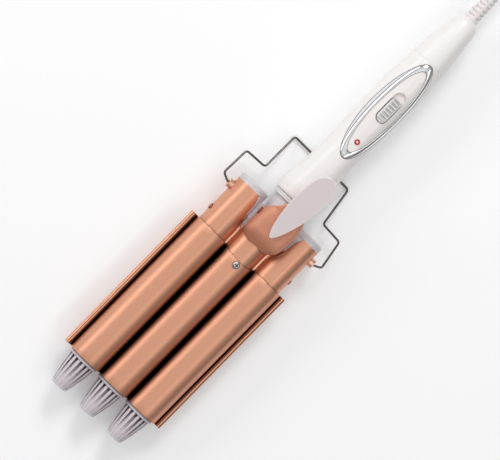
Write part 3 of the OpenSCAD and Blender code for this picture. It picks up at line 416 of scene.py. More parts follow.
class Finish(NamedTuple):
    """A Principled surface with an even grain, with painted shade in its hollows where that is
    given
    """
    color: str  # sRGB value, or one of the user's colours
    grain: float  # its size in millimetres
    relief: float  # how far it lifts the surface, in millimetres
    shade: float  # share by which it shades the colour
    rough: tuple  # roughness from and to
    stretch: tuple = (1, 1, 1)  # of the grain, along the axes
    painted_shade: tuple = None  # painted shade in hollows: width in millimetres, colour of the painted shade deep down, share of sky from which none is painted
    sockets: dict = {}  # other values of the surface


METAL = {"Metallic": 1.0}
POLYAMIDE = {"IOR": 1.53}
BRUSHED = (60, 1, 1)
FINISHES = {
    # Pressed aluminium sheet, lightly brushed lengthwise, anodised rose: soft long highlights, and
    # painted shade, dark brown, in the valleys. Real brushing is 0.02 mm apart; it is drawn at
    # 0.35 mm to show.
    "satin_rose_anodised_sheet": Finish(
        "rose_metal", 0.35, 0.002, 0.04, (0.4, 0.47), BRUSHED, (15, "#2A0C05", 0.86), METAL),
    # Drawn aluminium tube, brushed and anodised as the sheet: fine lines 0.35 mm apart, with
    # painted shade in its hollows
    "satin_rose_anodised_tube": Finish(
        "rose_metal", 0.35, 0.002, 0.04, (0.38, 0.45), BRUSHED, (2.5, "#5A2A1C", 0.86), METAL),
    # Small metal pieces, glossier than the tube, in a paler copy of the rose anodising: a painted
    # highlight. 0.35 mm lines
    "bright_rose_anodised_edge": Finish(
        "#F6C4AA", 0.35, 0.002, 0.04, (0.26, 0.34), BRUSHED, sockets=METAL),
    # Cold-headed screws and pin anodised rose: cloudy at 0.7 mm, with painted shade in their
    # recesses
    "rose_anodised_screw": Finish(
        "#C98B70", 0.7, 0.006, 0.1, (0.28, 0.4), painted_shade=(1.5, "#4A2318", 0.86), sockets=METAL),
    # Satin rose lacquer sprayed on pressed steel: an even fine orange peel about 0.8 mm wide
    "rose_sprayed_lacquer": Finish(
        "rose_lacquer", 0.8, 0.006, 0.03, (0.42, 0.5), sockets={"Metallic": 0.25}),
    # Glass-filled polyamide, spark-eroded mould: fine even grain of 0.3 mm, low sheen
    "lever_polyamide": Finish("lever", 0.3, 0.008, 0.03, (0.42, 0.52), sockets=POLYAMIDE),
    # Bead round the lever, of the same polyamide and glossy; its pale colour is a painted
    # highlight along the edge. 0.3 mm cloud
    "lever_rim_polyamide": Finish("#F3EAEA", 0.3, 0.003, 0.02, (0.2, 0.28), sockets=POLYAMIDE),
    # Heat-proof polyamide, moulded: grain of 0.35 mm with a low sheen, painted shade in the slots
    "tip_polyamide": Finish(
        "tip", 0.35, 0.01, 0.04, (0.4, 0.5), painted_shade=(3.0, "#544A4F", 0.86), sockets=POLYAMIDE),
    # Moulded polyamide with fine flow lines along the neck, 0.9 mm apart
    "yoke_polyamide": Finish("yoke", 0.9, 0.02, 0.12, (0.38, 0.5), BRUSHED, sockets=POLYAMIDE),
    # End caps of the same polyamide, polished mould: faint cloud of 4 mm, soft sheen
    "cap_polyamide": Finish("#CFCACD", 4.0, 0.01, 0.025, (0.28, 0.36), sockets=POLYAMIDE),
    # ABS shells with white pearl lacquer: clear coat over tiny mica flakes, drawn 0.5 mm wide
    "pearl_lacquered_abs": Finish("pearl", 0.5, 0.002, 0.018, (0.3, 0.38), sockets={
        "Coat Weight": 0.35, "Coat Roughness": 0.12}),
    # Moulded white ABS, satin: grain of 0.5 mm
    "collar_abs": Finish("#E9E6E6", 0.5, 0.006, 0.02, (0.32, 0.42)),
    # Bright chrome on moulded ABS: a mirror with the mould's slow 6 mm waves
    "chrome_plated_abs": Finish("#E4E4E6", 6.0, 0.012, 0.01, (0.04, 0.08), sockets=METAL),
    # Painted shade: thin dark rods along both edges of the bezel stand in for the shade in its
    # gaps; matt, fine 0.3 mm grain
    "black_sealing_rubber": Finish("#55504C", 0.3, 0.004, 0.15, (0.55, 0.7)),
    # Warm white ABS from a polished mould: gloss with slow 9 mm waves
    "panel_gloss_abs": Finish("panel", 9.0, 0.012, 0.015, (0.14, 0.2), sockets={
        "Coat Weight": 0.4, "Coat Roughness": 0.05}),
    # White grey ABS button, fine 0.25 mm grain, satin, painted shade between its ribs
    "button_abs": Finish(
        "button", 0.25, 0.006, 0.04, (0.35, 0.45), painted_shade=(2.5, "#3B3738", 0.96)),
    # Clear red polycarbonate over a lit lamp: glows evenly with a 1 mm cloud in the moulding
    "lit_red_lens": Finish("lamp", 1.0, 0.004, 0.1, (0.12, 0.2), sockets={
        "Emission Strength": 0.12, "Emission Color": "lamp"}),
    # Pale middle of the lit lens: frosted polycarbonate with a 0.4 mm grain
    "lens_core": Finish("#F6C8C8", 0.4, 0.004, 0.03, (0.2, 0.3), sockets={
        "Emission Strength": 0.15, "Emission Color": "#FFD8D4"}),
    # Spring steel wire, black nickel plated: drawn lines along it, bright and dark
    "dark_nickel_wire": Finish("#6B6562", 0.5, 0.003, 0.12, (0.16, 0.26), (8, 1, 1), sockets=METAL),
    # Cold-headed screws, zinc plated: cloudy grey at 0.7 mm, painted shade in the recess
    "zinc_plated_steel": Finish(
        "#B4B2B3", 0.7, 0.006, 0.12, (0.26, 0.42), painted_shade=(1.8, "#1C1716", 0.95), sockets=METAL),
    # Oil-tempered music wire: dark, drawn lines 0.3 mm apart
    "spring_steel": Finish("#6E6A66", 0.3, 0.003, 0.14, (0.25, 0.38), (6, 1, 1), sockets=METAL),
    # Extruded white PVC: satin, long waves of 3 mm from the extruder
    "pvc_lead": Finish("lead", 3.0, 0.03, 0.02, (0.36, 0.46), sockets={"IOR": 1.53}),
    # PVC moulded round the lead: soft satin grain of 0.6 mm
    "moulded_pvc": Finish("#E7E1E0", 0.6, 0.012, 0.03, (0.42, 0.52), sockets={"IOR": 1.53}),
    # Turned plug pins, nickel plated: turning lines 0.3 mm apart round each pin
    "nickel_plated_brass": Finish(
        "#C9C5BE", 0.3, 0.003, 0.06, (0.14, 0.24), (1, 6, 6), sockets=METAL),
    # Woven nylon band of loops 0.7 mm apart: matt with a fuzzy sheen
    "hook_and_loop_nylon": Finish(
        "#8E8A8C", 0.7, 0.2, 0.2, (0.75, 0.9), sockets={"Sheen Weight": 0.4}),
    # Pressed and fired heater body: chalky with pores of 0.5 mm
    "steatite_ceramic": Finish("#EDE6D6", 0.5, 0.02, 0.06, (0.7, 0.85)),
    # Bare extruded aluminium bars: die lines 0.4 mm apart along them
    "extruded_aluminium": Finish("#C6C8CB", 0.4, 0.006, 0.06, (0.3, 0.45), BRUSHED, sockets=METAL),
    # Braided glass fibre with silicone: ribs of the braid 0.6 mm apart
    "glass_fibre_sleeve": Finish("#E8E2CE", 0.6, 0.05, 0.1, (0.5, 0.65), (1.6, 1, 1)),
    # Green solder mask over woven glass: weave of 0.8 mm under a gloss
    "epoxy_laminate": Finish("#1F5A3A", 0.8, 0.01, 0.18, (0.25, 0.4)),
    # Black moulded phenolic of switch, hub and triac: grain of 0.4 mm
    "black_phenolic": Finish("#2B2A2C", 0.4, 0.01, 0.15, (0.4, 0.55)),
    # Yellow case of the capacitor, potted: smooth with a 1.5 mm cloud
    "yellow_polyester_case": Finish("#D9A92E", 1.5, 0.01, 0.06, (0.3, 0.4)),
    # Stamped contact ring: rolled lines 0.3 mm apart
    "phosphor_bronze": Finish("#C98F55", 0.3, 0.004, 0.08, (0.22, 0.34), (1, 5, 5), sockets=METAL),
    # Cast epoxy of the lamp: red-tinted and clear with a 0.5 mm schlieren
    "clear_led_epoxy": Finish("#F0A8A0", 0.5, 0.004, 0.1, (0.05, 0.12), sockets={
        "IOR": 1.54, "Transmission Weight": 0.5}),
    # Matt white paper under the waver: fibres 1.2 mm long, hardly to be seen
    "matt_white_floor": Finish("#F2F2F3", 1.2, 0.01, 0.004, (0.85, 0.95)),
}
OPEN_SKY_LOW = 0.42  # share of open sky below which the painted shade in a hollow is darkest


def tone(color):
    """Linear colour of an sRGB value or of one of the user's colours"""
    return srgb(color) if color[0] == "#" else tuple(getattr(bpy.context.scene.waver_colors, color))


def surface(name):
    """The material of a finish, made when it is first asked for"""
    if name in bpy.data.materials:
        return bpy.data.materials[name]
    row = FINISHES[name]
    color = tone(row.color)
    material = bpy.data.materials.new(name)
    material.use_nodes = True
    material.diffuse_color = (*color, 1)
    tree = material.node_tree
    shader = tree.nodes["Principled BSDF"]
    for key, value in row.sockets.items():
        shader.inputs[key].default_value = (*tone(value), 1) if isinstance(value, str) else value
    coords = node(tree, "ShaderNodeTexCoord")
    mapped = node(tree, "ShaderNodeMapping", [("Vector", coords, "Object")],
                  Scale=[1 / (row.grain * s * MM) for s in row.stretch])
    noise = node(tree, "ShaderNodeTexNoise", [("Vector", mapped, "Vector")], Scale=1.0, Detail=3.0)
    toned = node(tree, "ShaderNodeMix", [("Factor", noise, "Fac")], data_type="RGBA")
    toned.inputs[6].default_value = (*[c * (1 - row.shade) for c in color], 1)
    toned.inputs[7].default_value = (*[min(c * (1 + row.shade), 1) for c in color], 1)
    shown = toned
    # Painted shade: where ambient occlusion finds little open sky, the colour is mixed towards a
    # dark shade colour
    if row.painted_shade:
        width, shade_color, unshaded_sky = row.painted_shade
        open_sky = node(tree, "ShaderNodeAmbientOcclusion", Distance=width * MM)
        depth = node(tree, "ShaderNodeMapRange", [("Value", open_sky, "AO")],
                     From_Min=OPEN_SKY_LOW, From_Max=unshaded_sky)
        shown = node(tree, "ShaderNodeMix", [("Factor", depth, "Result")], data_type="RGBA")
        shown.inputs[6].default_value = (*tone(shade_color), 1)
        tree.links.new(shown.inputs[7], toned.outputs[2])
    spread = node(tree, "ShaderNodeMapRange", [("Value", noise, "Fac")],
                  To_Min=row.rough[0], To_Max=row.rough[1])
    bump = node(tree, "ShaderNodeBump", [("Height", noise, "Fac")], Distance=row.relief * MM)
    tree.links.new(shader.inputs["Base Color"], shown.outputs[2])
    tree.links.new(shader.inputs["Roughness"], spread.outputs["Result"])
    tree.links.new(shader.inputs["Normal"], bump.outputs["Normal"])
    return material


FLOOR_GLOW = 0.15


def glowing_floor():
    """The floor's paper, whiter where it is seen, straight or in metal, so it keeps its shadows"""
    material = surface("matt_white_floor")
    tree = material.node_tree
    shader = tree.nodes["Principled BSDF"]
    rays = node(tree, "ShaderNodeLightPath")
    seen = rays, "Is Camera Ray"
    for kind in ("Is Glossy Ray", "Is Transmission Ray"):
        seen = node(tree, "ShaderNodeMath", [(0, *seen), (1, rays, kind)], operation="ADD"), "Value"
    level = node(tree, "ShaderNodeMath", [(0, *seen)], operation="MULTIPLY")
    level.inputs[1].default_value = FLOOR_GLOW
    tree.links.new(shader.inputs["Emission Strength"], level.outputs["Value"])
    shader.inputs["Emission Color"].default_value = (1, 1, 1, 1)
    return material


# ---- Camera and lead ----

CAMERA_LEAN = math.radians(14)
CAMERA_AIM = (18.8, 7.38)
CAMERA_AWAY = 2  # metres
LEAD_RIGHT, LEAD_UP = 0.7007, 0.7135  # direction of the waver's length in the view


class WAVER_OT_camera(bpy.types.Operator):
    """Places the camera: from above, leaning 14 degrees to the right side, waver diagonal"""
    bl_idname = "waver.camera"
    bl_label = "Camera"

    def execute(self, context):
        across = Vector((0, math.cos(CAMERA_LEAN), -math.sin(CAMERA_LEAN)))
        back = Vector((0, math.sin(CAMERA_LEAN), math.cos(CAMERA_LEAN)))
        to_lead = Vector((1, 0, 0))
        right = LEAD_RIGHT * to_lead - LEAD_UP * across
        up = LEAD_UP * to_lead + LEAD_RIGHT * across
        place = at(*CAMERA_AIM) + back * CAMERA_AWAY
        activate(None)
        bpy.ops.object.camera_add()
        camera = context.object
        camera.name = "camera"
        camera.data.lens = 200
        camera.data.sensor_width = 36
        camera.matrix_world = Matrix([*zip(right, up, back, place), (0, 0, 0, 1)])
        context.scene.camera = camera
        return {"FINISHED"}


# Route of the lead from the strain relief to the coil, and from the coil to the plug, as
# [x, y, height over the table]
RUN_ROUTE = [(272, 0, 18), (280, 0, 18), (288, 0, 17), (296, 0, 13.5), (304, 0, 8.5),
             (312, 0, 4.5), (320, 0, 3), (330, 0, 3)]
TAIL_ROUTE = [(316, 73, 15), (308, 73, 14.6), (300, 73, 13), (292, 73, 9.8), (286, 73, 7.5),
              (283, 73, 7), (280.1, 73, 7)]
COIL = (340, 41)
COIL_TURNS = 7.5
COIL_R, TURN_STEP = 41, 6  # radius of the outer turns, and from one turn to the next
COIL_INNER = COIL_R - 2 * TURN_STEP
LAYERS = (3, 9, 15)
TIE_REACH = 8
POINTS_PER_TURN = 30
PLUG = (246, 73, 7)  # place of the plug's face, with its height over the table
PLUG_LEN = 34


def climb(share):
    """How far a turn has climbed while it crosses onto the one beside it"""
    return math.sqrt(1 - (1 - share) ** 2)


def coil_point(turn):
    """Point of the coil: two layers of three turns beside each other, and a half layer on top"""
    if turn < 2:
        radius, height = COIL_R - TURN_STEP * turn, LAYERS[0]
    elif turn < 3:
        radius, height = COIL_INNER, LAYERS[0] + TURN_STEP * climb(turn - 2)
    elif turn < 5:
        radius, height = COIL_INNER + TURN_STEP * (turn - 3), LAYERS[1]
    elif turn < 6:
        radius, height = COIL_R, LAYERS[1] + TURN_STEP * climb(turn - 5)
    else:
        radius, height = COIL_R - TURN_STEP * (turn - 6), LAYERS[2]
    angle = math.radians(360 * turn - 90)
    # the tie's band lies under the turns on the far side
    side = radius * math.asin(math.sin(angle)) if math.cos(angle) > 0 else 99
    height += (1.1 - 0.07 * (height - LAYERS[0])) * math.exp(-(side / TIE_REACH) ** 4)
    return (COIL[0] + radius * math.cos(angle), COIL[1] + radius * math.sin(angle), height)


def lead_path():
    """Points of the lead in the frame"""
    turns = [coil_point(i / POINTS_PER_TURN) for i in range(int(COIL_TURNS * POINTS_PER_TURN) + 1)]
    route = RUN_ROUTE + turns + TAIL_ROUTE
    return [at(x, y, z + FLOOR_Z) for x, y, z in route]


def rod_along(name, path, radius, sides=16):
    """Round rod or wire that follows a path"""
    curve = bpy.data.curves.new(name, "CURVE")
    curve.dimensions = "3D"
    curve.bevel_depth = radius
    curve.bevel_resolution = (sides - 4) // 2
    curve.use_fill_caps = True
    spline = curve.splines.new("POLY")
    spline.points.add(len(path) - 1)
    for point, place in zip(spline.points, path):
        point.co = (*place, 1)
    obj = bpy.data.objects.new(name, curve)
    bpy.context.scene.collection.objects.link(obj)
    return obj


def solid_rod(name, path, radius, sides=16):
    """The same as one closed mesh"""
    activate(rod_along(name, path, radius, sides))
    bpy.ops.object.convert(target="MESH")
    return merge_doubles(named(name))


def plug_section(x):
    """Half width and half height of the plug at a distance from its face"""
    widths = [(0, 16.3), (1.5, 16.8), (12, 16.8), (16, 16), (19, 13.4), (25, 6.1), (34, 5.5)]
    heights = [(0, 6.4), (1.5, 6.9), (15, 6.9), (18, 6.9), (21, 6.4), (25, 5.7), (34, 5.5)]
    return smooth_at(widths, x), smooth_at(heights, x)


class WAVER_OT_lead(bpy.types.Operator):
    """Makes the lead with its coil, tie and two-pin plug"""
    bl_idname = "waver.lead"
    bl_label = "Lead"

    def execute(self, context):
        sizes = context.scene.waver_sizes
        path = lead_path()
        lead = rod_along("lead", path, sizes.lead_diameter / 2)
        finished(lead, "pvc_lead", "lead_run", "lead_coil", "lead_tail", slot="lead_pvc")

        def plug_skin(u, v):
            x = PLUG_LEN * v
            half_w, half_h = plug_section(x)
            y, z = stadium(2 * math.pi * u, max(half_w, half_h + 0.01), half_h)
            return at(PLUG[0] + x, PLUG[1] + y, PLUG[2] + FLOOR_Z + z)

        body = smooth(soften(capped(warped("plug_shell", 96, 40, plug_skin)), 0.5))
        finished(body, "moulded_pvc", "plug_body", slot="lead_pvc")

        tie = smooth(soften(copy_of_node("lead_tie", "coil_tie"), 0.4))
        finished(tie, "hook_and_loop_nylon", "lead_tie", slot="tie_plastic")
        paint("nickel_plated_brass", "plug_pins")
        return {"FINISHED"}


# ---- Barrels and tips ----

# Middle line of the copper rim that closes the gap beside the middle barrel, as [x, y]. It
# lies at a height in the gap, and further on over the round of the yoke's outer plug.
RIM_LINE = [(-1, 14.5), (6, 14.5), (11.5, 14.5), (13.5, 14.6), (15, 15.1), (16, 15.6), (17, 16.3),
            (18, 16.9), (19, 17.5), (20, 18), (22, 18.7), (25, 19.3)]
RIM_Z = 2.3
RIM_PLUG_R = 12.45
# Its section, as [distance to the outside, height]: a bead along each edge
RIM_SECTION = [(-1.35, -0.3), (-1.35, 0.35), (-1.05, 0.55), (-0.75, 0.35), (-0.55, 0.0),
               (0.45, 0.0), (0.65, 0.35), (0.95, 0.55), (1.25, 0.35), (1.25, -0.3)]


class WAVER_OT_barrels(bpy.types.Operator):
    """Finishes the barrels and their fasteners, and makes the rims beside the middle one"""
    bl_idname = "waver.barrels"
    bl_label = "Barrels"

    def execute(self, context):
        paint("satin_rose_anodised_tube", "barrel_left", "barrel_middle", "barrel_right")
        # The lugs get the paler rose: a painted highlight
        paint("bright_rose_anodised_edge", "stand_lug_left", "stand_lug_right")
        paint("rose_anodised_screw", "barrel_screws")
        paint("yoke_polyamide", "barrel_yoke")
        paint("cap_polyamide", "end_cap_left", "end_cap_right")
        rows = len(RIM_SECTION) - 1

        for name, side in SIDES:
            def rim(u, v):
                x = blend(RIM_LINE[0][0], RIM_LINE[-1][0], u)
                slope = (smooth_at(RIM_LINE, x + 0.2) - smooth_at(RIM_LINE, x - 0.2)) / 0.4
                turn = math.atan(slope)
                out, up = RIM_SECTION[round(v * rows)]
                y = smooth_at(RIM_LINE, x) + out * math.cos(turn)
                plug = math.sqrt(max(RIM_PLUG_R ** 2 - (PITCH - y) ** 2, 0))
                return at(x - out * math.sin(turn), side * y, max(RIM_Z, plug) + up)

            made = face_up(warped("barrel_rim_" + name, 60, rows, rim))
            # The rims get the paler rose: a painted highlight along their beads
            finished(smooth(made, 50), "bright_rose_anodised_edge", slot="rose_metal")
        return {"FINISHED"}


TIP_LEN = 24.8
RING_X = TUBE_FRONT - 2.6


def tip_r(share):
    """Radius of a cool tip at a share of its length"""
    return 11 - 4.5 * share ** 1.45


class WAVER_OT_tips(bpy.types.Operator):
    """Makes the slotted cool tips with their rings"""
    bl_idname = "waver.tips"
    bl_label = "Cool tips"

    def execute(self, context):
        sizes = context.scene.waver_sizes
        slots = sizes.tip_slots
        depth = sizes.tip_slot_depth / MM
        steps = 24
        cone = [(RING_X, tip_r(0))]
        cone += [(RING_X - TIP_LEN * k / steps, tip_r(k / steps)) for k in range(1, steps)]
        cone += [(RING_X - TIP_LEN + 0.35, 6.2), (RING_X - TIP_LEN + 0.1, 5.7),
                 (RING_X - TIP_LEN, 4.9), (RING_X - TIP_LEN + 0.3, 4.2),
                 (RING_X - TIP_LEN + 0.35, 0)]
        tip = lathe("tip_middle_dressed", cone, slots * 8)

        def slotted(place):
            share = (RING_X - place.x) / TIP_LEN
            if not 0 < share < 0.9:
                return False
            period = math.degrees(math.atan2(place.z, place.y)) * slots / 360 % 1
            return abs(period - 0.5) < 0.25

        def sink(place):
            return depth * max(0.2, 1 - 1.15 * (RING_X - place.x) / TIP_LEN)

        soften(sink_faces(tip, slotted, sink), 0.16, 2, 40)
        ring = lathe("ring", [
            (RING_X, 0), (RING_X, 11.7), (RING_X + 0.15, 12.1), (RING_X + 0.5, 12.3),
            (TUBE_FRONT - 0.5, 12.3), (TUBE_FRONT - 0.15, 12.1), (TUBE_FRONT, 11.4),
            (TUBE_FRONT + 10, 11.3), (TUBE_FRONT + 10, 0)])
        tip = smooth(joined("tip_middle_dressed", tip, ring), 40)
        pieces = {"middle": tip}
        for side, place in SIDES:
            pieces[side] = copied(tip, "tip_" + side + "_dressed", (0, place * PITCH, 0))
        for side, piece in pieces.items():
            finished(piece, "tip_polyamide", "tip_" + side, slot="tip_plastic")
        return {"FINISHED"}


# ---- Clamp ----

PLATE_R = 14.5
FLANGE_Z = 0.8
CREST_STEP = 5


def plate_profile():
    """Top line of the clamp plate's section as [y, z], from its left to its right edge"""
    def crest(y, start, end):
        count = round((start - end) / CREST_STEP)
        angles = [math.radians(blend(start, end, i / count)) for i in range(count + 1)]
        return [(y + PLATE_R * math.cos(a), PLATE_R * math.sin(a)) for a in angles]

    foot = math.degrees(math.asin(FLANGE_Z / PLATE_R))
    flank = math.degrees(math.acos((PITCH / 2 - 1) / PLATE_R))
    edge = [(43, -0.4), (43.5, -0.4), (43.8, FLANGE_Z), (48, FLANGE_Z)]
    valley = [(-0.45, 2.6), (0, -0.3), (0.45, 2.6)]
    line = [(-y, z) for y, z in reversed(edge)] + crest(-PITCH, 180 - foot, flank)
    line += [(y - PITCH / 2, z) for y, z in valley] + crest(0, 180 - flank, flank)
    line += [(y + PITCH / 2, z) for y, z in valley] + crest(PITCH, 180 - flank, foot) + edge
    return line


# Rolled hem: middle y, half width and height, and the places of its two grooves
HEM_Y, HEM_HALF, HEM_HEIGHT = 45.9, 2.3, 2.0
HEM_GROOVES = (45.0, 46.7)
HEM_FOOT = 0.1
GROOVE_HALF, GROOVE_DEPTH, GROOVE_ROOM = 0.2, 0.5, 0.26


def hem_section():
    """Section of the hem at the right side as [y, z]"""
    line = [(HEM_Y - HEM_HALF * math.cos(math.radians(a)),
             HEM_FOOT + HEM_HEIGHT * math.sin(math.radians(a))) for a in range(0, 181, 9)]
    for middle in HEM_GROOVES:
        line = [p for p in line if abs(p[0] - middle) > GROOVE_ROOM]
        top = HEM_FOOT + HEM_HEIGHT * math.sqrt(1 - ((middle - HEM_Y) / HEM_HALF) ** 2)
        line += [(middle - GROOVE_HALF, top), (middle, top - GROOVE_DEPTH),
                 (middle + GROOVE_HALF, top)]
    return sorted(line)


def hem(name, side):
    """Folded hem along one side of the clamp plate"""
    section = hem_section()
    loop = section + section[:1]
    rows = len(loop) - 1

    def skin(u, v):
        y, z = loop[round(v * rows)]
        return at(blend(-PLATE_LEN, 0, u), side * y, z)

    return capped(warped(name, 1, rows, skin))


class WAVER_OT_clamp(bpy.types.Operator):
    """Makes the pressed clamp plate, its hems and screw, and finishes the pin and spring"""
    bl_idname = "waver.clamp"
    bl_label = "Clamp"

    def execute(self, context):
        sizes = context.scene.waver_sizes
        profile = plate_profile()
        rows = len(profile) - 1
        lean = sizes.plate_lean / MM / PLATE_R

        def sheet(u, v):
            y, z = profile[round(v * rows)]
            rear = -z * lean if abs(y) < PITCH / 2 else 0
            return at(blend(-PLATE_LEN, rear, u), y, z)

        plate = face_up(warped("clamp_plate_dressed", 26, rows, sheet))
        walled(plate, sizes.plate_wall, True)
        soften(plate, 0.22, 2)
        finished(smooth(plate, 32), "satin_rose_anodised_sheet", "clamp_plate", body="clamp",
                 slot="rose_metal")
        for side, place in SIDES:
            finished(smooth(hem("hem_" + side, place), 32), "satin_rose_anodised_tube",
                     body="clamp", slot="rose_metal")
        screw = smooth(soften(copy_of_node("clamp_screw", "clamp_screw_dressed"), 0.12, 2), 40)
        finished(screw, "zinc_plated_steel", "clamp_screw", body="clamp", slot="screw_steel")
        paint("zinc_plated_steel", "lever_screws")
        paint("rose_anodised_screw", "pivot_pin")
        paint("spring_steel", "clamp_spring")
        return {"FINISHED"}


SADDLE_X, SADDLE_END = 13.3, 64.7
SADDLE_LEAN = math.radians(36)
SADDLE_ROUND = 6.0
SADDLE_BLEND = 4  # height over which the front face rounds into the top
SIDE_SHARE, ROUND_SHARE = 0.5, 0.8  # of a half section, where its side and round edge end
SADDLE_WALL = 1.5
TONGUE_R = 13.65
TONGUE_WALL = 0.75
TONGUE_X = -12
TONGUE_FOOT = 12.7  # degrees from the barrels' plane to its edges
LEVER_FRONT = (25.7, 25.0)
LEVER_RISE = math.radians(16)
FRONT_CORNER = 8.0
# Half width of the saddle at [x, half width], behind its front corners
SADDLE_WIDTHS = [(21.3, 15.2), (36, 15.2), (41, 14.2), (45, 12.2), (50, 9.4), (54, 7.2),
                 (61.7, 4.6), (64.7, 2.8)]
# Lower edge of the saddle at [x, height], behind which it is a plate under the lever
SADDLE_LOW = [(SADDLE_X, 9), (37.6, 9), (43, 22), (45, 28.5)]
SADDLE_PLATE = 1.7


def saddle_top(x):
    """Height of the saddle's top, rounded over from its leaning front face"""
    front = TONGUE_R + (x - SADDLE_X) / math.tan(SADDLE_LEAN)
    top = LEVER_FRONT[1] + (x - LEVER_FRONT[0]) * math.tan(LEVER_RISE)
    near = max(SADDLE_BLEND - abs(front - top), 0)
    return min(front, top) - near * near / (4 * SADDLE_BLEND)


def saddle_half_w(x):
    """Half width of the saddle, with round front corners"""
    if x < SADDLE_WIDTHS[0][0]:
        side = SADDLE_WIDTHS[0][1] - FRONT_CORNER
        return side + math.sqrt(max(FRONT_CORNER ** 2 - (SADDLE_WIDTHS[0][0] - x) ** 2, 0))
    return smooth_at(SADDLE_WIDTHS, x)


def saddle_low(x):
    """Height of the saddle's lower edge"""
    for (x0, z0), (x1, z1) in zip(SADDLE_LOW, SADDLE_LOW[1:]):
        if x <= x1:
            return blend(z0, z1, (x - x0) / (x1 - x0))
    return saddle_top(x) - SADDLE_PLATE


def saddle_skin(u, v):
    """Point of the saddle's outer skin: u runs to the rear and v from the left to the right edge"""
    x = SADDLE_X + (SADDLE_END - SADDLE_X) * u ** 1.5
    half, top, low = saddle_half_w(x), saddle_top(x), saddle_low(x)
    r = min(SADDLE_ROUND, half * 0.6, (top - low) * 0.7)
    edge = 1 - abs(2 * v - 1)
    if edge < SIDE_SHARE:
        y, z = half, blend(low, top - r, edge / SIDE_SHARE)
    elif edge < ROUND_SHARE:
        turn = math.radians(90 * (edge - SIDE_SHARE) / (ROUND_SHARE - SIDE_SHARE))
        y, z = half - r + r * math.cos(turn), top - r + r * math.sin(turn)
    else:
        y, z = (half - r) * (1 - edge) / (1 - ROUND_SHARE), top
    return at(x, math.copysign(y, v - 0.5), z)


class WAVER_OT_saddle(bpy.types.Operator):
    """Makes the clamp's saddle and the tongue that carries the plate"""
    bl_idname = "waver.saddle"
    bl_label = "Saddle"

    def execute(self, context):
        saddle = face_up(warped("clamp_saddle_dressed", 72, 40, saddle_skin))
        walled(saddle, SADDLE_WALL * MM, True)
        smooth(soften(saddle, 0.35, 2, 60), 40)
        finished(saddle, "rose_sprayed_lacquer", "clamp_arm", body="clamp", slot="rose_lacquer")

        def strip(u, v):
            turn = math.radians(blend(180 - TONGUE_FOOT, TONGUE_FOOT, v))
            return at(blend(TONGUE_X, SADDLE_X + 2.5, u), TONGUE_R * math.cos(turn),
                      TONGUE_R * math.sin(turn))

        tongue = face_up(warped("clamp_tongue_dressed", 8, 60, strip))
        walled(tongue, TONGUE_WALL * MM)
        smooth(soften(tongue, 0.15, 2), 40)
        finished(tongue, "satin_rose_anodised_tube", body="clamp", slot="rose_metal")
        return {"FINISHED"}


# Half width of the lever at [distance from its tip, half width]
LEVER_STATIONS = [(0, 0.8), (3, 2.8), (9.3, 5.3), (19.3, 7.8), (26, 8.9), (34.3, 9.7), (43, 9.9),
                  (49.3, 9.4), (54.4, 8), (58, 4.9), (60, 0.8)]
LEVER_LEN = LEVER_STATIONS[-1][0]
BEAD_R = 0.42
BEAD_INSET, BEAD_DROP = 0.3, 0.38


def on_arm(run, y, height):
    """Point over the sloping top of the clamp's arm, from the lever's tip"""
    return at(LEVER_FRONT[0] + run * math.cos(LEVER_RISE) - height * math.sin(LEVER_RISE), y,
              LEVER_FRONT[1] + run * math.sin(LEVER_RISE) + height * math.cos(LEVER_RISE))


class WAVER_OT_lever(bpy.types.Operator):
    """Makes the leaf-shaped thumb lever"""
    bl_idname = "waver.lever"
    bl_label = "Thumb lever"

    def execute(self, context):
        sizes = context.scene.waver_sizes
        thick = sizes.lever_thickness / MM

        def sheet(u, v):
            run = LEVER_LEN * (1 - math.cos(math.pi * u)) / 2
            half = smooth_at(LEVER_STATIONS, run)
            return on_arm(run / math.cos(LEVER_RISE), blend(-1, 1, v) * half, thick)

        lever = face_up(warped("thumb_lever_dressed", 64, 16, sheet))
        walled(lever, sizes.lever_thickness)
        smooth(soften(lever, sizes.lever_edge / MM, 3, 50), 30)
        finished(lever, "lever_polyamide", "thumb_lever", body="clamp", slot="lever_plastic")

        def edge(run, side):
            half = max(smooth_at(LEVER_STATIONS, run) - BEAD_INSET, 0)
            return on_arm(run / math.cos(LEVER_RISE), side * half, thick - BEAD_DROP)

        runs = [0.5 + (LEVER_LEN - 1) * (1 - math.cos(math.pi * k / 60)) / 2 for k in range(61)]
        line = [edge(run, 1) for run in runs] + [edge(run, -1) for run in reversed(runs)]
        # A pale bead round the lever's edge: a painted highlight
        rim = smooth(solid_rod("lever_rim", line + line[:1], BEAD_R * MM, 10), 60)
        finished(rim, "lever_rim_polyamide", body="clamp", slot="lever_plastic")
        return {"FINISHED"}


# ---- Stand ----

# Corners of the stand's wire as [distance from its pivot, half width]
WIRE_CORNERS = [(0, 39.2), (0, 45.3), (2.8, 50.85), (26.2, 48.6), (27.2, 30.5), (59.4, 28.2)]
WIRE_BEND = 2.5
STAND_X = 32.8
STAND_FOLD = math.radians(15.9)


def rounded(corners, radius, steps=8):
    """Route whose corners are round bends"""
    route = [corners[0]]
    for before, corner, after in zip(corners, corners[1:], corners[2:]):
        into = (corner - before).normalized()
        out = (after - corner).normalized()
        turn = into.angle_signed(out)
        reach = radius * math.tan(abs(turn) / 2)
        start = corner - into * reach
        end = corner + out * reach
        side = Vector((-into.y, into.x)) * (1 if into.x * out.y - into.y * out.x > 0 else -1)
        middle = start + side * radius
        for k in range(steps + 1):
            angle = abs(turn) * k / steps
            route.append(middle - side * radius * math.cos(angle) + into * radius * math.sin(angle))
    return route + [corners[-1]]


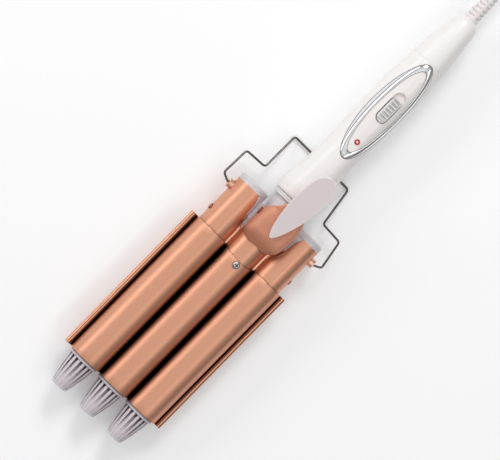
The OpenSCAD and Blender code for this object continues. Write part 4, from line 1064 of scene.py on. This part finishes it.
class WAVER_OT_stand(bpy.types.Operator):
    """Makes the folded wire stand"""
    bl_idname = "waver.stand"
    bl_label = "Stand"

    def execute(self, context):
        sizes = context.scene.waver_sizes
        corners = [Vector(c) for c in WIRE_CORNERS]
        corners += [Vector((c.x, -c.y)) for c in reversed(corners)]
        path = [at(STAND_X + p.x * math.cos(STAND_FOLD), p.y, -p.x * math.sin(STAND_FOLD))
                for p in rounded(corners, WIRE_BEND)]
        wire = smooth(solid_rod("stand_wire_dressed", path, sizes.wire_diameter / 2), 50)
        finished(wire, "dark_nickel_wire", "stand_wire", body="stand", slot="wire_steel")
        return {"FINISHED"}


# ---- Handle ----

BEZEL = (147.6, 45.5, 13.3)  # middle x, half length, half width
PANEL = (39.5, 9.35)  # half length, half width
PANEL_OPENING = (42.2, 11.3)  # half length and half width of the hole under the bezel
SHELL_SKIN = 0.99
SEAM_HALF = 0.06


class WAVER_OT_handle(bpy.types.Operator):
    """Makes the two handle shells and the rear sleeve"""
    bl_idname = "waver.handle"
    bl_label = "Handle"

    def execute(self, context):
        count = 76
        line = [blend(HANDLE_X, SEAM_X, k / count) for k in range(count + 1)]
        skin = lathe("handle_skin", [(HANDLE_X + 0.3, 14.3), (HANDLE_X, 14.8), (HANDLE_X, 17.1)]
                     + [(x, handle_r(x)) for x in line[1:]]
                     + [(SEAM_X, handle_r(SEAM_X) - 1.6), (SEAM_X - 0.5, handle_r(SEAM_X) - 2.2)],
                     128)
        for name, side in (("upper", 1), ("lower", -1)):
            shell = copied(skin, "handle_" + name + "_shell_dressed", (0, 0, 0))
            edit(shell)
            bpy.ops.mesh.bisect(plane_co=at(0, 0, side * SEAM_HALF), plane_no=(0, 0, side),
                                clear_inner=True)
            if side > 0:
                pick_faces(shell, lambda p: p.z > 0 and math.hypot(
                    (p.x - BEZEL[0]) / PANEL_OPENING[0], p.y / PANEL_OPENING[1]) < 1)
                bpy.ops.mesh.delete(type="FACE")
            bpy.ops.object.mode_set(mode="OBJECT")
            walled(shell, SHELL_SKIN * MM)
            smooth(soften(shell, 0.12, 2, 50), 40)
            finished(shell, "pearl_lacquered_abs", "handle_" + name + "_shell",
                     slot="handle_plastic")
        bpy.data.objects.remove(skin)

        count = 26
        line = [blend(SEAM_X + 0.3, HANDLE_END, k / count) for k in range(count + 1)]
        outline = [(SEAM_X + 0.02, handle_r(SEAM_X) - 2), (SEAM_X + 0.02, handle_r(SEAM_X) - 0.5),
                   (SEAM_X + 0.3, handle_r(SEAM_X) - 0.45), (SEAM_X + 0.3, handle_r(SEAM_X) - 0.2)]
        outline += [(x, handle_r(x)) for x in line[1:]]
        outline += [(HANDLE_END - 0.1, 6.5), (HANDLE_END - 0.8, 6.25), (HANDLE_END - 3, 6.25)]
        sleeve = smooth(lathe("rear_sleeve_dressed", outline, 128), 40)
        finished(sleeve, "pearl_lacquered_abs", "rear_sleeve", slot="handle_plastic")
        paint("collar_abs", "front_collar")
        paint("zinc_plated_steel", "shell_screws")
        return {"FINISHED"}


RECESS = (151.6, 13.7, 5.0)  # middle x, half length, half width
RECESS_FLOOR = 12.95
RECESS_LIP = 0.25  # depth of the wall's top under the panel's face
PANEL_SINK = 0.03
PANEL_UNDER = 0.5  # how far the panel reaches under the bezel
PANEL_WALL = 1.0
# Radius of the thin dark rods that paint the shade along the bezel's edges
GAP_SHADE_R = 0.2
INDICATOR_X = 117.4
BUTTON_FOOT = 13.25
RIB_PITCH, RIB_R = 2.9, 0.85
RIB_SHIFT = 1  # how far the ribs sit behind the button's middle
RIB_END = 3.3  # from the middle plane, where a rib has faded out


class WAVER_OT_controls(bpy.types.Operator):
    """Makes the bezel, the control panel, the indicator and the sliding button"""
    bl_idname = "waver.controls"
    bl_label = "Controls"

    def execute(self, context):
        self.bezel(context.scene.waver_sizes)
        self.panel()
        self.indicator()
        self.button(context.scene.waver_sizes)
        return {"FINISHED"}

    def bezel(self, sizes):
        """Polished ring with a round section that narrows to its pointed ends"""
        rise = sizes.bezel_height / MM
        # share of the way from the inner to the outer edge, and height of the section
        section = [(0.0, -0.6), (0.0, 0.35), (0.03, 0.62), (0.09, 0.82), (0.2, 0.94), (0.36, 1.0),
                   (0.52, 0.98), (0.68, 0.88), (0.82, 0.68), (0.93, 0.4), (0.985, 0.15),
                   (1.0, -0.1)]
        rows = len(section) - 1

        def ring(u, v):
            across, height = section[round(v * rows)]
            angle = 2 * math.pi * u
            x = BEZEL[0] + blend(PANEL[0], BEZEL[1], across) * math.cos(angle)
            y = blend(PANEL[1], BEZEL[2], across) * math.sin(angle)
            return on_handle(x, y, rise * height)

        bezel = smooth(face_up(warped("bezel_ring_dressed", 192, rows, ring)), 60)
        finished(bezel, "chrome_plated_abs", "bezel_ring", slot="chrome_trim")
        # Painted shade: two thin dark rods along the bezel's outer and inner edges show the shade
        # in its gaps
        gap_shades = []
        for half_len, half_w, height in (BEZEL[1:] + (0.05,), PANEL + (0.2,)):
            turns = [2 * math.pi * k / 160 for k in range(161)]
            line = [on_handle(BEZEL[0] + half_len * math.cos(a), half_w * math.sin(a), height)
                    for a in turns]
            gap_shades.append(solid_rod("bezel_seal", line, GAP_SHADE_R * MM, 8))
        finished(smooth(joined("bezel_seal", *gap_shades), 60), "black_sealing_rubber",
                 slot="part_plastic")

    def panel(self):
        """Rosy panel, sunk for the sliding button"""
        # share of the way from the recess to the panel's edge, inset, and depth
        rows_of = [("floor", 5.0), ("floor", 2.0), ("floor", 0.35), ("wall", 0.1), ("wall", 0.9)]
        rows_of += [("face", share / 10) for share in range(11)]
        rows = len(rows_of) - 1

        def face(u, v):
            kind, amount = rows_of[round(v * rows)]
            angle = 2 * math.pi * u
            inset = amount if kind == "floor" else (0.12 if kind == "wall" else 0)
            x, y = stadium(angle, RECESS[1] - inset, RECESS[2] - min(inset, 4.99))
            x += RECESS[0]
            if kind == "floor":
                return at(x, y, RECESS_FLOOR)
            top = on_handle(x, y, -RECESS_LIP)
            if kind == "wall":
                return at(x, y, blend(RECESS_FLOOR + 0.15, (top.z - AXIS_Z) / MM, amount))
            far_x = BEZEL[0] + (PANEL[0] + PANEL_UNDER) * math.cos(angle)
            far_y = (PANEL[1] + PANEL_UNDER) * math.sin(angle)
            return on_handle(blend(x, far_x, amount), blend(y, far_y, amount), -PANEL_SINK)

        panel = face_up(warped("control_panel_dressed", 192, rows, face))
        smooth(walled(panel, PANEL_WALL * MM))
        finished(panel, "panel_gloss_abs", "control_panel", slot="panel_plastic")

    def indicator(self):
        """Red ring of the indicator round its bright middle"""
        top = handle_r(INDICATOR_X) + 0.5
        outline = [(top - 2, 2.15), (top - 0.45, 2.15), (top - 0.2, 2.05), (top - 0.05, 1.8),
                   (top, 1.5), (top - 0.04, 1.15), (top - 0.2, 0.92), (top - 0.5, 0.9)]
        ring = lathe("indicator_ring", outline, 48, (INDICATOR_X, 0), True)
        finished(smooth(ring, 60), "lit_red_lens", "indicator_lens", slot="lamp_red")
        outline = [(top - 0.6, 0.95), (top - 0.3, 0.93), (top - 0.16, 0.7), (top - 0.1, 0.4),
                   (top - 0.08, 0)]
        core = lathe("indicator_core", outline, 32, (INDICATOR_X, 0), True)
        finished(smooth(core, 60), "lens_core", slot="led_clear")
        paint("clear_led_epoxy", "indicator_led")

    def button(self, sizes):
        """Ribbed sliding button"""
        middle, half_len, half_w, top = 149.1, 10.5, 4.15, 15.95
        ribs = sizes.button_ribs

        def crown(u, v):
            x = half_len * math.sin(math.pi * (u - 0.5))
            over = abs(x) - (half_len - half_w)
            reach = math.sqrt(max(half_w ** 2 - over ** 2, 0)) if over > 0 else half_w
            y = blend(-1, 1, v) * reach
            nearest = min(abs(x - RIB_SHIFT - (i - (ribs - 1) / 2) * RIB_PITCH)
                          for i in range(ribs))
            rib = math.sqrt(RIB_R ** 2 - nearest ** 2) if nearest < RIB_R else 0
            edge = max(0, abs(y) - (half_w - 0.9)) / 0.9
            end = max(0, abs(x) - (half_len - 0.8)) / 0.8
            fade = min(1, max(0, RIB_END - abs(y)) / 0.5)
            return at(middle + x, y, top + rib * fade - 0.35 * edge ** 2 - 0.35 * end ** 2)

        button = face_up(warped("power_button_dressed", 150, 18, crown))
        edit(button)
        bpy.ops.mesh.region_to_loop()
        bpy.ops.mesh.extrude_region_move(
            TRANSFORM_OT_translate={"value": (0, 0, (BUTTON_FOOT - top) * MM)})
        bpy.ops.transform.resize(value=(1, 1, 0), center_override=at(middle, 0, BUTTON_FOOT))
        bpy.ops.mesh.edge_face_add()
        bpy.ops.mesh.select_all(action="SELECT")
        face_out()
        finished(smooth(button, 40), "button_abs", "power_button", body="button",
                 slot="button_plastic")


RELIEF_PITCH, RELIEF_SLOT = 3.6, 1.1
SLOT_DEPTH = 1.1
SPINE_HALF, CORE_R = 1.1, 3  # what the slots leave: a spine at the top and bottom, and a core


class WAVER_OT_strain_relief(bpy.types.Operator):
    """Makes the tapered strain relief with its slots either side of a spine"""
    bl_idname = "waver.strain_relief"
    bl_label = "Strain relief"

    def execute(self, context):
        start, end = HANDLE_END - 3, RUN_ROUTE[0][0]
        ridges = [HANDLE_END + 0.6 + i * RELIEF_PITCH for i in range(9)]
        slots = [(ridge + RELIEF_PITCH - RELIEF_SLOT, ridge + RELIEF_PITCH) for ridge in ridges]

        def radius(x):
            return blend(5.72, 4.2, (x - HANDLE_END) / (end - HANDLE_END))

        places = sorted({start, HANDLE_END + 0.3, end - 1.0} | {x for slot in slots for x in slot})
        outline = [(start, 0)] + [(x, radius(max(x, HANDLE_END))) for x in places]
        outline += [(end - 0.4, 4.1), (end, 3.6), (end, 0)]
        boot = lathe("strain_relief_dressed", outline, 64)

        def slotted(place):
            inside = any(low < place.x < high for low, high in slots)
            return inside and abs(place.y) > SPINE_HALF and math.hypot(place.y, place.z) > CORE_R

        smooth(soften(sink_faces(boot, slotted, lambda place: SLOT_DEPTH), 0.15, 2, 45), 45)
        finished(boot, "moulded_pvc", "strain_relief", body="swivel", slot="lead_pvc")
        return {"FINISHED"}


class WAVER_OT_inner(bpy.types.Operator):
    """Gives the pieces inside the waver their finishes"""
    bl_idname = "waver.inner"
    bl_label = "Inner pieces"

    def execute(self, context):
        paint("steatite_ceramic", "heater_left", "heater_middle", "heater_right")
        paint("extruded_aluminium", "spreader_left", "spreader_middle", "spreader_right")
        paint("zinc_plated_steel", "thermal_fuse", "board_screws")
        paint("glass_fibre_sleeve", "heater_leads", "supply_leads")
        paint("epoxy_laminate", "circuit_board")
        paint("black_phenolic", "slide_switch", "triac", "swivel_hub")
        paint("yellow_polyester_case", "capacitor")
        paint("phosphor_bronze", "contact_ring")
        return {"FINISHED"}


# ---- Stage ----

SKY_LEAN = 10  # degrees
# Strength of the sky at [sine of the height over the horizon, strength]
SKY = ((0.0, 0.19), (0.3, 0.31), (0.6, 0.47), (0.85, 0.53), (1.0, 0.48))


class WAVER_OT_stage(bpy.types.Operator):
    """Makes the pale floor, the soft lights and the white surroundings"""
    bl_idname = "waver.stage"
    bl_label = "Stage"

    def execute(self, context):
        activate(None)
        bpy.ops.mesh.primitive_plane_add(size=8, location=(0, 0, -0.0004))
        floor = named("floor")
        floor.data.materials.append(glowing_floor())

        def lamp(name, place, size, power):
            activate(None)
            bpy.ops.object.light_add(type="AREA", location=place)
            light = context.object
            light.name = name
            light.data.shape = "RECTANGLE"
            light.data.size, light.data.size_y = size
            light.data.energy = power
            light.rotation_euler = (Vector((0, 0, 0.02)) - Vector(place)).to_track_quat(
                "-Z", "Y").to_euler()

        lamp("key", (0.05, 1.8, 0.88), (2.2, 0.5), 10)
        lamp("left", (0.05, -1.0, 1.9), (2.2, 0.4), 5)
        lamp("rear", (1.5, 0.9, 1.5), (0.7, 0.7), 17)

        world = bpy.data.worlds.new("studio")
        context.scene.world = world
        world.use_nodes = True
        tree = world.node_tree
        shade = tree.nodes["Background"]
        coords = node(tree, "ShaderNodeTexCoord")
        # turned so that its pole leans to the left: bright overhead, darker towards the horizon
        turned = node(tree, "ShaderNodeMapping", [("Vector", coords, "Generated")],
                      Rotation=(math.radians(SKY_LEAN), 0, 0))
        parts = node(tree, "ShaderNodeSeparateXYZ", [("Vector", turned, "Vector")])
        ramp = node(tree, "ShaderNodeValToRGB", [("Fac", parts, "Z")])
        for place, level in SKY:
            stop = ramp.color_ramp.elements.new(place)
            stop.color = (level, level, level, 1)
        tree.links.new(shade.inputs["Strength"], ramp.outputs["Color"])
        shade.inputs["Color"].default_value = (1, 1, 1, 1)
        context.scene.view_settings.view_transform = "Standard"
        return {"FINISHED"}


class WAVER_PT_panel(bpy.types.Panel):
    """Sidebar panel with the waver's sizes, colours and steps"""
    bl_idname = "WAVER_PT_panel"
    bl_label = "Hair waver"
    bl_space_type = "VIEW_3D"
    bl_region_type = "UI"
    bl_category = "Waver"

    def draw(self, context):
        layout = self.layout
        for group in (context.scene.waver_sizes, context.scene.waver_colors):
            box = layout.box()
            for name in group.bl_rna.properties.keys():
                if name not in ("rna_type", "name"):
                    box.prop(group, name)
        for step in STEPS:
            layout.operator(step.bl_idname)


STEPS = (WAVER_OT_camera, WAVER_OT_lead, WAVER_OT_barrels, WAVER_OT_tips, WAVER_OT_clamp,
         WAVER_OT_saddle, WAVER_OT_lever, WAVER_OT_stand, WAVER_OT_handle, WAVER_OT_controls,
         WAVER_OT_strain_relief, WAVER_OT_inner, WAVER_OT_stage)
CLASSES = (WaverSizes, WaverColors) + STEPS + (WAVER_PT_panel,)


def register():
    """Registers the classes and puts the settings on the scene"""
    for cls in CLASSES:
        bpy.utils.register_class(cls)
    bpy.types.Scene.waver_sizes = PointerProperty(type=WaverSizes)
    bpy.types.Scene.waver_colors = PointerProperty(type=WaverColors)


def unregister():
    """Takes the settings and classes away again"""
    del bpy.types.Scene.waver_colors
    del bpy.types.Scene.waver_sizes
    for cls in reversed(CLASSES):
        bpy.utils.unregister_class(cls)


def main():
    """Dresses the waver step by step"""
    register()
    bpy.ops.waver.camera()
    bpy.ops.waver.lead()
    bpy.ops.waver.barrels()
    bpy.ops.waver.tips()
    bpy.ops.waver.clamp()
    bpy.ops.waver.saddle()
    bpy.ops.waver.lever()
    bpy.ops.waver.stand()
    bpy.ops.waver.handle()
    bpy.ops.waver.controls()
    bpy.ops.waver.strain_relief()
    bpy.ops.waver.inner()
    bpy.ops.waver.stage()


if __name__ == "__main__":
    main()
